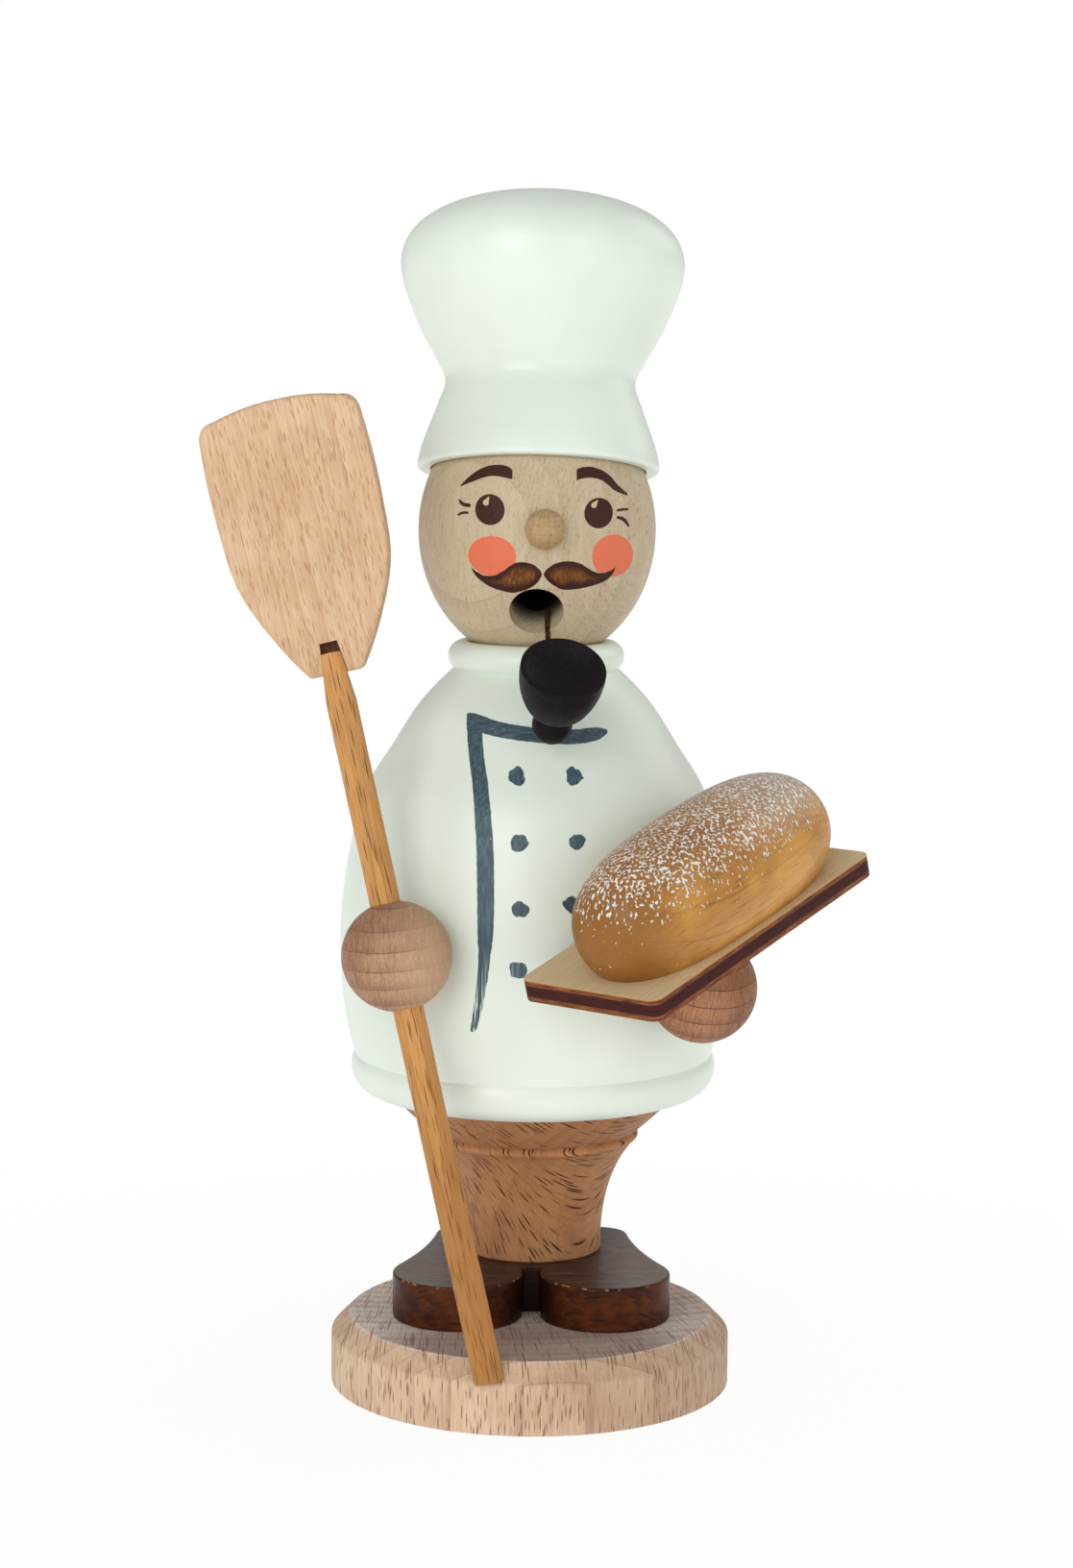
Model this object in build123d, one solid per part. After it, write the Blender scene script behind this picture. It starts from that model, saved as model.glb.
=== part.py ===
from build123d import *
import math
import os

# Wooden incense smoker: a turned baker with a peel and a loaf. Millimetres, +Z up.
# The origin is the centre of the base's underside. The figure looks along -Y, and +X is its left.

# Base disc, and where the figure's turning axis stands on it
BASE_RADIUS = 33.7
BASE_THICK = 11.7
BASE_CHAMFER = 3.15
FIGURE_X = 0.2
FIGURE_Y = 13.6

# Shoe plate: two round toes on one heel, measured from the figure's axis
SHOE_THICK = 7.6
TOE_RADIUS = 11.0
TOE_SPREAD = 12.4
TOE_REACH = 17.0
TOE_JOIN_ANGLE = 25.0
HEEL_HALF_WIDTH = 16.8
HEEL_REACH = 13.4
HEEL_CORNER = 5.0
WAIST_HOLLOW = 0.8
NOTCH_WIDTH = 3.1
NOTCH_REACH = 15.3

# Dowel that ties the base, the shoes and the legs together
LEG_DOWEL_RADIUS = 4.0
LEG_DOWEL_IN_BASE = 8.0
LEG_DOWEL_IN_LEGS = 12.0

# Legs: (radius, height over the shoes) up to the bead, and from the groove to the shoulder
LEG_FLANK = [(12.0, 0.0), (12.3, 7.0), (13.45, 12.0), (15.4, 16.4), (17.5, 19.4)]
LEG_BEAD_RADIUS = 18.2
LEG_BEAD_WIDTH = 1.7
LEG_GROOVE_RADIUS = 17.7
LEG_LIP_RADIUS = 18.4
LEG_LIP_HEIGHT = 21.6
LEG_FLARE = (20.3, 23.25)
LEG_SHOULDER_RADIUS = 25.0
LEG_HEIGHT = 28.0
SPIGOT_RADIUS = 21.5
SPIGOT_HEIGHT = 10.0
SPIGOT_LEAD = 1.0
SPIGOT_GAP = 0.3

# Brass dish and its pin on the spigot
DISH_RADIUS = 15.0
DISH_FLOOR_RADIUS = 13.6
DISH_DEPTH = 2.6
DISH_SHEET = 0.6
PIN_RADIUS = 0.9
PIN_LENGTH = 9.0
PIN_HEAD_RADIUS = 2.4
PIN_HEAD_THICK = 0.9

# Jacket: (radius, height over its underside) from the hem groove to just under the collar
HEM_UNDER_RADIUS = 27.2
HEM_RADIUS = 31.25
HEM_HEIGHT = 4.4
HEM_ROUND = (30.1, 1.35)
HEM_CROWN = (31.1, 5.6)
JACKET_FLANK = [
    (30.65, 6.6),
    (32.6, 15.7),
    (33.2, 24.7),
    (31.5, 42.1),
    (28.9, 52.0),
    (24.3, 59.5),
    (19.5, 66.9),
]
COLLAR_RADIUS = 14.95
COLLAR_BEAD = 2.6
COLLAR_HEIGHT = 74.8
COLLAR_GROOVE_RADIUS = 13.9
SEAT_RADIUS = 11.0
CHAMBER_HEIGHT = 48.0
CHAMBER_CONE = 9.0
FLUE_RADIUS = 8.5
DRAUGHT_RADIUS = 3.4
DRAUGHT_HEIGHT = 17.0

# Head: an upright egg with a flat foot that sits in the collar
HEAD_RADIUS = 20.06
HEAD_HALF_HEIGHT = 22.6
HEAD_FOOT_DROP = 19.0
FLUE_RISE = 1.5
FACE_TURN = 3.6
MOUTH_RADIUS = 4.5
MOUTH_BELOW = 12.6
MOUTH_DEPTH = 19.0
NOSE_RADIUS = 3.3
NOSE_ABOVE = 1.4
NOSE_STAND = 0.6
NOSE_PEG_RADIUS = 1.5
NOSE_PEG_LENGTH = 7.0

# Hat: (radius, height over the brim) from the brim to the waist, and from the waist to the crown
HAT_TILT = 11.0
HAT_LEAN = 0.8
HAT_RISE = 10.0
HAT_SEAT = 6.0
HAT_GAP = 0.3
BRIM_UNDER_RADIUS = 19.8
BRIM_LIP = (20.3, 0.2)
HAT_BRIM = [(20.5, 0.8), (20.05, 3.2), (18.75, 7.1), (17.25, 11.2), (16.1, 15.1)]
HAT_CROWN = [(16.1, 15.1), (17.7, 18.9), (19.95, 22.9), (22.25, 28.1), (23.6, 32.1), (24.1, 35.0)]
CROWN_DOME = 12.0
CROWN_FULLNESS = 2.25
HAT_DOWEL_RADIUS = 4.0
HAT_DOWEL_IN_HEAD = 9.0
HAT_DOWEL_IN_HAT = 12.0

# Hands: drilled balls pegged to the jacket, placed by height and by angle from straight ahead
HAND_RADIUS = 9.0
HAND_SINK = 0.45
RIGHT_HAND_HEIGHT = 29.1
RIGHT_HAND_ANGLE = 32.2
LEFT_HAND_HEIGHT = 23.55
LEFT_HAND_ANGLE = 41.2
HAND_PEG_RADIUS = 2.5
HAND_PEG_IN_JACKET = 8.0
HAND_PEG_STOP = 3.6

# Peel: a dowel through the right hand with a flat blade let on to its tapered tip
HANDLE_RADIUS = 2.5
HANDLE_LENGTH = 119.3
HANDLE_TIP_RADIUS = 1.65
HANDLE_TAPER = 8.0
FOOT_ANGLE = 11.7
FOOT_INSET = 0.8
FOOT_HEIGHT = 9.9
FOOT_REACH = 1.2
FOOT_GAP = 0.3
BLADE_THICK = 3.0
BLADE_LENGTH = 45.4
BLADE_FLANK = [(4.4, 0.0), (9.3, 8.0), (12.85, 16.6), (13.75, 26.0), (13.55, 40.5)]
BLADE_CORNER = (12.6, 43.2)
BLADE_SHOULDER = (10.4, 44.0)
BLADE_YAW = 10.0
BLADE_LEAN = 2.0
BLADE_SWING = 1.2
BLADE_OVERLAP = 3.5
BLADE_POCKET = 1.8

# Bread board on the left hand, and the loaf on it
BOARD_WIDTH = 27.8
BOARD_LENGTH = 59.8
BOARD_THICK = 3.7
BOARD_CORNER = 2.0
BOARD_TURN = 40.0
BOARD_SLOPE = 16.5
BOARD_SHIFT = 2.3
BOARD_SEAT = 0.6
BOARD_GAP = 0.4
BOARD_PEG_RADIUS = 2.0
BOARD_PEG_START = 3.2
BOARD_PEG_IN_BOARD = 2.4
LOAF_RADIUS = 12.1
LOAF_HALF_LENGTH = 27.8
LOAF_SQUARENESS = 2.9
LOAF_AXIS_HEIGHT = 6.9
LOAF_SHIFT = 2.5
LOAF_STATIONS = 6

# Pipe: bowl on a round knob, on a thin stem that lies over the lower lip
KNOB_RADIUS = 3.3
KNOB_AHEAD = 28.0
KNOB_BELOW = 29.8
KNOB_SIDE = 2.7
PIPE_TILT = 39.0
PIPE_LEAN = 7.7
PIPE_NECK = (2.5, 2.6)
PIPE_FLANK = [(4.5, 4.0), (6.05, 6.9), (6.85, 10.2), (6.95, 12.8)]
PIPE_RIM_WIDTH = 0.7
PIPE_HOLLOW = 2.2
STEM_RADIUS = 0.45
STEM_BITE = 0.2
STEM_SIDE = 1.9
STEM_IN_MOUTH = 5.0

# Heights that follow from the stack of pieces
SHOE_TOP = BASE_THICK + SHOE_THICK
JACKET_BASE = SHOE_TOP + LEG_HEIGHT
SPIGOT_TOP = JACKET_BASE + SPIGOT_HEIGHT
COLLAR_MIDDLE = COLLAR_RADIUS - COLLAR_BEAD
SEAT_HEIGHT = COLLAR_HEIGHT + math.sqrt(COLLAR_BEAD**2 - (COLLAR_MIDDLE - SEAT_RADIUS) ** 2)
HEAD_FOOT = JACKET_BASE + SEAT_HEIGHT
HEAD_CENTRE = HEAD_FOOT + HEAD_FOOT_DROP
CHAMBER_RADIUS = SPIGOT_RADIUS + SPIGOT_GAP

FIGURE = Pos(FIGURE_X, FIGURE_Y, 0)
FIGURE_AXIS = Vector(FIGURE_X, FIGURE_Y, 0)
FAR = 4 * (BASE_RADIUS + HEAD_CENTRE)


def turned(*edges):
    """Solid of revolution about Z from a closed chain of (radius, height) edges."""
    return revolve(Plane.XZ * make_face(edges), Axis.Z)


def cap(radius, height, rise):
    """Arc from a rim up, or with a negative rise down, to the turning axis, centred on that axis."""
    ball = (radius**2 + rise**2) / (2 * rise)
    half_angle = math.atan2(abs(rise), radius)
    middle = (abs(ball) * math.sin(half_angle), height + rise - ball + ball * math.cos(half_angle))
    return ThreePointArc((radius, height), middle, (0, height + rise))


def rod(start, end, radius):
    """Round rod between two points."""
    path = end - start
    return Plane(origin=start, z_dir=path) * Cylinder(
        radius, path.length, align=(Align.CENTER, Align.CENTER, Align.MIN)
    )


def ahead(angle, distance, height):
    """Point at a distance from the figure's axis, turned from straight ahead towards +X."""
    turn = math.radians(angle)
    return FIGURE_AXIS + Vector(distance * math.sin(turn), -distance * math.cos(turn), height)


def keep_above(plane):
    """Half space on the side of a plane that its normal points to."""
    return plane * Box(FAR, FAR, FAR, align=(Align.CENTER, Align.CENTER, Align.MIN))


# Base, shoes and legs


def base_blank(gap=0.0):
    disc = Cylinder(
        BASE_RADIUS + gap, BASE_THICK + gap, align=(Align.CENTER, Align.CENTER, Align.MIN)
    )
    return chamfer(disc.edges().group_by(Axis.Z)[-1], BASE_CHAMFER)


def leg_dowel():
    foot = FIGURE_AXIS + Vector(0, 0, BASE_THICK - LEG_DOWEL_IN_BASE)
    top = FIGURE_AXIS + Vector(0, 0, SHOE_TOP + LEG_DOWEL_IN_LEGS)
    return rod(foot, top, LEG_DOWEL_RADIUS)


def shoe_plate():
    join = math.radians(TOE_JOIN_ANGLE)
    toe = Vector(TOE_SPREAD, -TOE_REACH)
    outer = toe + Vector(TOE_RADIUS * math.cos(join), TOE_RADIUS * math.sin(join))
    notch_half = NOTCH_WIDTH / 2
    inner_rise = math.sqrt(TOE_RADIUS**2 - (TOE_SPREAD - notch_half) ** 2)
    inner = toe + Vector(notch_half - TOE_SPREAD, -inner_rise)
    heel_side = Vector(HEEL_HALF_WIDTH, HEEL_REACH - HEEL_CORNER)
    heel_back = Vector(HEEL_HALF_WIDTH - HEEL_CORNER, HEEL_REACH)
    corner_out = HEEL_CORNER * (1 - math.sqrt(0.5))
    heel_corner = Vector(HEEL_HALF_WIDTH - corner_out, HEEL_REACH - corner_out)
    waist = (outer + heel_side) * 0.5 - Vector(WAIST_HOLLOW, 0)
    right = Curve() + [
        Line((0, HEEL_REACH), heel_back),
        ThreePointArc(heel_back, heel_corner, heel_side),
        ThreePointArc(heel_side, waist, outer),
        ThreePointArc(outer, toe - Vector(0, TOE_RADIUS), inner),
        Line(inner, (notch_half, -NOTCH_REACH)),
        Line((notch_half, -NOTCH_REACH), (0, -NOTCH_REACH)),
    ]
    sole = make_face(right.edges() + mirror(right, Plane.YZ).edges())
    plate = extrude(Pos(0, 0, BASE_THICK) * sole, SHOE_THICK, dir=(0, 0, 1))
    return FIGURE * plate


def legs():
    bead_foot = LEG_FLANK[-1]
    bead_top = (LEG_GROOVE_RADIUS, bead_foot[1] + LEG_BEAD_WIDTH)
    bead_mid = (LEG_BEAD_RADIUS, bead_foot[1] + LEG_BEAD_WIDTH / 2)
    lip = (LEG_LIP_RADIUS, LEG_LIP_HEIGHT)
    shoulder = (LEG_SHOULDER_RADIUS, LEG_HEIGHT)
    spigot_foot = (SPIGOT_RADIUS, LEG_HEIGHT)
    spigot_side = (SPIGOT_RADIUS, LEG_HEIGHT + SPIGOT_HEIGHT - SPIGOT_LEAD)
    spigot_rim = (SPIGOT_RADIUS - SPIGOT_LEAD, LEG_HEIGHT + SPIGOT_HEIGHT)
    blank = turned(
        Line((0, 0), LEG_FLANK[0]),
        Spline(LEG_FLANK),
        ThreePointArc(bead_foot, bead_mid, bead_top),
        Line(bead_top, lip),
        ThreePointArc(lip, LEG_FLARE, shoulder),
        Line(shoulder, spigot_foot),
        Line(spigot_foot, spigot_side),
        Line(spigot_side, spigot_rim),
        Line(spigot_rim, (0, LEG_HEIGHT + SPIGOT_HEIGHT)),
        Line((0, LEG_HEIGHT + SPIGOT_HEIGHT), (0, 0)),
    )
    return FIGURE * Pos(0, 0, SHOE_TOP) * blank - leg_dowel() - pin_shank()


# Incense dish


def pin_shank():
    top = FIGURE_AXIS + Vector(0, 0, SPIGOT_TOP + DISH_SHEET)
    return rod(top - Vector(0, 0, PIN_LENGTH), top, PIN_RADIUS)


def incense_dish():
    wall = turned(
        Line((0, 0), (DISH_FLOOR_RADIUS, 0)),
        Line((DISH_FLOOR_RADIUS, 0), (DISH_RADIUS, DISH_DEPTH)),
        Line((DISH_RADIUS, DISH_DEPTH), (DISH_RADIUS - DISH_SHEET, DISH_DEPTH)),
        Line((DISH_RADIUS - DISH_SHEET, DISH_DEPTH), (DISH_FLOOR_RADIUS - DISH_SHEET, DISH_SHEET)),
        Line((DISH_FLOOR_RADIUS - DISH_SHEET, DISH_SHEET), (0, DISH_SHEET)),
        Line((0, DISH_SHEET), (0, 0)),
    )
    return FIGURE * Pos(0, 0, SPIGOT_TOP) * wall - pin_shank()


def dish_pin():
    head = turned(
        Line((0, 0), (PIN_HEAD_RADIUS, 0)),
        cap(PIN_HEAD_RADIUS, 0, PIN_HEAD_THICK),
        Line((0, PIN_HEAD_THICK), (0, 0)),
    )
    return FIGURE * Pos(0, 0, SPIGOT_TOP + DISH_SHEET) * head + pin_shank()


# Jacket


def flank(gap=0.0):
    """Side of the jacket from the hem groove to the collar groove, moved out by the gap."""
    groove_drop = math.sqrt(COLLAR_BEAD**2 - (COLLAR_GROOVE_RADIUS - COLLAR_MIDDLE) ** 2)
    groove = (COLLAR_GROOVE_RADIUS, COLLAR_HEIGHT - groove_drop)
    return Spline([(radius + gap, height) for radius, height in JACKET_FLANK + [groove]])


def flank_radius(height):
    """Outer radius of the jacket at a height over its underside, between hem and collar."""
    side = flank()
    low, high = 0.0, 1.0
    while high - low > 1e-6:
        middle = (low + high) / 2
        if (side @ middle).Y < height:
            low = middle
        else:
            high = middle
    return (side @ low).X


def jacket_blank(gap=0.0):
    """Outside of the jacket, filled in, with its surface moved out by the gap."""
    side = flank(gap)
    under = (HEM_UNDER_RADIUS + gap, 0)
    hem = (HEM_RADIUS + gap, HEM_HEIGHT)
    bead_side = COLLAR_BEAD * math.sqrt(0.5)
    collar = (COLLAR_MIDDLE + bead_side + gap, COLLAR_HEIGHT + bead_side)
    seat = (SEAT_RADIUS + gap, SEAT_HEIGHT)
    blank = turned(
        Line((0, 0), under),
        ThreePointArc(under, (HEM_ROUND[0] + gap, HEM_ROUND[1]), hem),
        ThreePointArc(hem, (HEM_CROWN[0] + gap, HEM_CROWN[1]), side @ 0),
        side,
        ThreePointArc(side @ 1, collar, seat),
        Line(seat, (0, SEAT_HEIGHT)),
        Line((0, SEAT_HEIGHT), (0, 0)),
    )
    return FIGURE * Pos(0, 0, JACKET_BASE) * blank


def jacket():
    throat = CHAMBER_HEIGHT + CHAMBER_CONE
    hollow = turned(
        Line((0, 0), (CHAMBER_RADIUS, 0)),
        Line((CHAMBER_RADIUS, 0), (CHAMBER_RADIUS, CHAMBER_HEIGHT)),
        Line((CHAMBER_RADIUS, CHAMBER_HEIGHT), (FLUE_RADIUS, throat)),
        Line((FLUE_RADIUS, throat), (FLUE_RADIUS, SEAT_HEIGHT)),
        Line((FLUE_RADIUS, SEAT_HEIGHT), (0, SEAT_HEIGHT)),
        Line((0, SEAT_HEIGHT), (0, 0)),
    )
    chamber = FIGURE * Pos(0, 0, JACKET_BASE) * hollow
    draught_height = JACKET_BASE + DRAUGHT_HEIGHT
    draught = rod(ahead(0, 0, draught_height), ahead(180, 2 * HEM_RADIUS, draught_height), DRAUGHT_RADIUS)
    return jacket_blank() - chamber - draught - hand_peg("right") - hand_peg("left")


# Head, nose and hat


def head_blank(gap=0.0):
    """The egg of the head, moved out by the gap, on its flat foot and not yet drilled."""
    centre = (0, HEAD_CENTRE)
    tall = HEAD_HALF_HEIGHT + gap
    egg = turned(
        EllipticalCenterArc(centre, HEAD_RADIUS + gap, tall, -90, arc_size=180),
        Line((0, HEAD_CENTRE + tall), (0, HEAD_CENTRE - tall)),
    )
    return FIGURE * egg & keep_above(Plane((FIGURE_X, FIGURE_Y, HEAD_FOOT)))


def head_surface(below):
    """Distance of the face from the head's axis, at a height below the head's centre."""
    return HEAD_RADIUS * math.sqrt(1 - (below / HEAD_HALF_HEIGHT) ** 2)


def hat_plane(height):
    """Plane square to the hat's axis at a height over the brim, facing the crown."""
    tilt = math.radians(HAT_TILT)
    lean = math.radians(HAT_LEAN)
    axis = Vector(math.sin(lean), math.sin(tilt) * math.cos(lean), math.cos(tilt) * math.cos(lean))
    centre = FIGURE_AXIS + Vector(0, 0, HEAD_CENTRE) + axis * (HAT_RISE + height)
    return Plane(origin=centre, x_dir=(1, 0, 0), z_dir=axis)


def mouth_plane():
    """Plane on the face at the mouth's centre, facing out along the drilled mouth."""
    depth = head_surface(MOUTH_BELOW)
    outward = Vector(0, -depth / HEAD_RADIUS**2, -MOUTH_BELOW / HEAD_HALF_HEIGHT**2)
    return Plane(origin=ahead(0, depth, HEAD_CENTRE - MOUTH_BELOW), x_dir=(1, 0, 0), z_dir=outward)


def nose_peg():
    depth = head_surface(NOSE_ABOVE) + NOSE_STAND
    height = HEAD_CENTRE + NOSE_ABOVE
    return rod(
        ahead(FACE_TURN, depth - NOSE_STAND - NOSE_PEG_LENGTH, height),
        ahead(FACE_TURN, depth, height),
        NOSE_PEG_RADIUS,
    )


def nose():
    centre = ahead(FACE_TURN, head_surface(NOSE_ABOVE) + NOSE_STAND, HEAD_CENTRE + NOSE_ABOVE)
    return Pos(centre) * Sphere(NOSE_RADIUS) - head_blank() + nose_peg()


def head():
    mouth_face = mouth_plane()
    bore_start = mouth_face.origin + mouth_face.z_dir * MOUTH_RADIUS
    bore_end = mouth_face.origin - mouth_face.z_dir * MOUTH_DEPTH
    flue = rod(ahead(0, 0, JACKET_BASE), ahead(0, 0, HEAD_CENTRE + FLUE_RISE), FLUE_RADIUS)
    blank = head_blank() - keep_above(hat_plane(HAT_SEAT))
    drilled = blank - rod(bore_start, bore_end, MOUTH_RADIUS) - flue
    return drilled - nose_peg() - hat_dowel() - pipe_stem()


def hat_dowel():
    axis = hat_plane(HAT_SEAT)
    low = axis.origin - axis.z_dir * HAT_DOWEL_IN_HEAD
    high = axis.origin + axis.z_dir * HAT_DOWEL_IN_HAT
    return rod(low, high, HAT_DOWEL_RADIUS)


def hat():
    crown_radius, crown_height = HAT_CROWN[-1]
    dome = []
    for angle in (0, 22.5, 45, 67.5, 90):
        out = math.cos(math.radians(angle)) ** (2 / CROWN_FULLNESS)
        up = math.sin(math.radians(angle)) ** (2 / CROWN_FULLNESS)
        dome.append((crown_radius * out, crown_height + CROWN_DOME * up))
    blank = turned(
        Line((0, 0), (BRIM_UNDER_RADIUS, 0)),
        ThreePointArc((BRIM_UNDER_RADIUS, 0), BRIM_LIP, HAT_BRIM[0]),
        Spline(HAT_BRIM),
        Spline(HAT_CROWN),
        Spline(dome, tangents=[(0, 1), (-1, 0)]),
        Line(dome[-1], (0, 0)),
    )
    hollow = head_blank(HAT_GAP) - keep_above(hat_plane(HAT_SEAT))
    return hat_plane(0) * blank - hollow - hat_dowel()


# Hands


def hand_centre(side):
    if side == "right":
        return ahead(
            -RIGHT_HAND_ANGLE,
            flank_radius(RIGHT_HAND_HEIGHT) + HAND_RADIUS - HAND_SINK,
            JACKET_BASE + RIGHT_HAND_HEIGHT,
        )
    return ahead(
        LEFT_HAND_ANGLE,
        flank_radius(LEFT_HAND_HEIGHT) + HAND_RADIUS - HAND_SINK,
        JACKET_BASE + LEFT_HAND_HEIGHT,
    )


def hand_peg(side):
    centre = hand_centre(side)
    inward = (Vector(FIGURE_X, FIGURE_Y, centre.Z) - centre).normalized()
    reach = HAND_RADIUS - HAND_SINK + HAND_PEG_IN_JACKET
    return rod(centre + inward * HAND_PEG_STOP, centre + inward * reach, HAND_PEG_RADIUS)


def hand_ball(side, pole):
    """Ball set against the jacket, with its poles where it is drilled and its seam turned outwards."""
    centre = hand_centre(side)
    outward = centre - Vector(FIGURE_X, FIGURE_Y, centre.Z)
    seam = outward - pole * outward.dot(pole)
    ball = Plane(origin=centre, x_dir=seam, z_dir=pole) * Sphere(HAND_RADIUS)
    return ball - jacket_blank() - hand_peg(side)


def right_hand():
    return hand_ball("right", handle_line()[1]) - peel_handle()


def left_hand():
    under = board_plane()
    return hand_ball("left", under.z_dir) - keep_above(under) - board_peg()


# Peel


def handle_line():
    """Foot of the peel on the base's chamfer, and the way from there through the right hand."""
    turn = math.radians(FOOT_ANGLE)
    out = BASE_RADIUS - FOOT_INSET
    foot = Vector(-out * math.sin(turn), -out * math.cos(turn), FOOT_HEIGHT)
    return foot, (hand_centre("right") - foot).normalized()


def handle_tip(beyond=0.0):
    """Tapered tip of the handle, or the same shape carried on beyond it for the pocket."""
    foot, way = handle_line()
    start = foot + way * (HANDLE_LENGTH - HANDLE_TAPER)
    taper = (HANDLE_RADIUS - HANDLE_TIP_RADIUS) / HANDLE_TAPER
    return Plane(origin=start, z_dir=way) * Cone(
        HANDLE_RADIUS,
        HANDLE_TIP_RADIUS - taper * beyond,
        HANDLE_TAPER + beyond,
        align=(Align.CENTER, Align.CENTER, Align.MIN),
    )


def peel_handle():
    foot, way = handle_line()
    shaft = rod(foot - way * FOOT_REACH, foot + way * (HANDLE_LENGTH - HANDLE_TAPER), HANDLE_RADIUS)
    return shaft + handle_tip() - base_blank(FOOT_GAP)


def blade_plane():
    """Front of the blade: origin in the middle of its lower edge, y up the blade, z to the front."""
    foot, way = handle_line()
    yaw = math.radians(BLADE_YAW)
    lean = math.radians(BLADE_LEAN)
    front = Vector(-math.sin(yaw) * math.cos(lean), -math.cos(yaw) * math.cos(lean), -math.sin(lean))
    along = (way - front * way.dot(front)).normalized()
    swing = math.radians(BLADE_SWING)
    up = along * math.cos(swing) + along.cross(front) * math.sin(swing)
    tip = foot + way * HANDLE_LENGTH
    return Plane(origin=tip - up * BLADE_OVERLAP, x_dir=up.cross(front), z_dir=front)


def peel_blade():
    top = (0, BLADE_LENGTH)
    right = Curve() + [
        Line((0, 0), BLADE_FLANK[0]),
        Spline(BLADE_FLANK),
        ThreePointArc(BLADE_FLANK[-1], BLADE_CORNER, BLADE_SHOULDER),
        Spline([BLADE_SHOULDER, top], tangents=[(-1, 0.2), (-1, 0)]),
    ]
    outline = make_face(right.edges() + mirror(right, Plane.YZ).edges())
    plate = extrude(blade_plane() * outline, -BLADE_THICK)
    return plate - handle_tip(beyond=BLADE_POCKET) - peel_handle()


# Bread board and loaf


def board_plane():
    """Underside of the board over the left hand: x across it, y up its slope, z out of its top."""
    turn = math.radians(BOARD_TURN)
    slope = math.radians(BOARD_SLOPE)
    across = Vector(math.cos(turn), -math.sin(turn), 0)
    along = Vector(math.sin(turn) * math.cos(slope), math.cos(turn) * math.cos(slope), math.sin(slope))
    up = across.cross(along)
    seat = hand_centre("left") + up * (HAND_RADIUS - BOARD_SEAT)
    return Plane(origin=seat, x_dir=across, z_dir=up)


def board_peg():
    under = board_plane()
    start = hand_centre("left") + under.z_dir * BOARD_PEG_START
    return rod(start, under.origin + under.z_dir * BOARD_PEG_IN_BOARD, BOARD_PEG_RADIUS)


def bread_board():
    sheet = RectangleRounded(BOARD_WIDTH, BOARD_LENGTH, BOARD_CORNER)
    plate = extrude(board_plane() * (Pos(0, BOARD_SHIFT) * sheet), BOARD_THICK)
    return plate - jacket_blank(BOARD_GAP) - board_peg()


def bread_loaf():
    half = []
    for station in range(LOAF_STATIONS):
        share = math.sin(math.pi / 2 * station / LOAF_STATIONS)
        radius = LOAF_RADIUS * (1 - share**LOAF_SQUARENESS) ** (1 / LOAF_SQUARENESS)
        half.append((LOAF_HALF_LENGTH * share, radius))
    end = (LOAF_HALF_LENGTH, 0)
    crust = Spline(half + [end], tangents=[(1, 0), (0, -1)])
    quarter = make_face([crust, Line(end, (0, 0)), Line((0, 0), half[0])])
    along_y = revolve(Rot(0, 0, 90) * quarter, Axis.Y)
    roll = along_y + mirror(along_y, Plane.XZ)
    table = board_plane()
    top = Plane(origin=table.origin + table.z_dir * BOARD_THICK, x_dir=table.x_dir, z_dir=table.z_dir)
    placed = top * Pos(LOAF_SHIFT, BOARD_SHIFT, LOAF_AXIS_HEIGHT) * roll
    return placed & keep_above(top)


# Pipe


def pipe_plane():
    """Plane through the knob's centre, facing up the bowl."""
    tilt = math.radians(PIPE_TILT)
    lean = math.radians(PIPE_LEAN)
    axis = Vector(math.sin(lean), -math.sin(tilt) * math.cos(lean), math.cos(tilt) * math.cos(lean))
    knob = ahead(0, KNOB_AHEAD, HEAD_CENTRE - KNOB_BELOW) + Vector(KNOB_SIDE, 0, 0)
    return Plane(origin=knob, x_dir=(1, 0, 0), z_dir=axis)


def pipe_stem():
    mouth_face = mouth_plane()
    knob = pipe_plane().origin
    down = mouth_face.z_dir.cross(Vector(1, 0, 0)).normalized()
    drop = math.sqrt(MOUTH_RADIUS**2 - STEM_SIDE**2)
    lip = mouth_face.origin + Vector(STEM_SIDE, 0, 0) - down * drop
    way = (lip - knob).normalized()
    outward = way.cross(Vector(1, 0, 0)).normalized()
    rest = lip + outward * (STEM_RADIUS - STEM_BITE)
    return rod(knob, rest + (rest - knob).normalized() * STEM_IN_MOUTH, STEM_RADIUS)


def pipe_bowl():
    neck_radius, neck_height = PIPE_NECK
    rim_radius, rim_height = PIPE_FLANK[-1]
    knob_neck = (neck_radius, math.sqrt(KNOB_RADIUS**2 - neck_radius**2))
    hollow_radius = rim_radius - PIPE_RIM_WIDTH
    bowl = turned(
        ThreePointArc((0, -KNOB_RADIUS), (KNOB_RADIUS, 0), knob_neck),
        Line(knob_neck, (neck_radius, neck_height)),
        Spline([(neck_radius, neck_height)] + PIPE_FLANK),
        Line(PIPE_FLANK[-1], (hollow_radius, rim_height)),
        cap(hollow_radius, rim_height, -PIPE_HOLLOW),
        Line((0, rim_height - PIPE_HOLLOW), (0, -KNOB_RADIUS)),
    )
    return pipe_plane() * bowl - pipe_stem()


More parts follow.
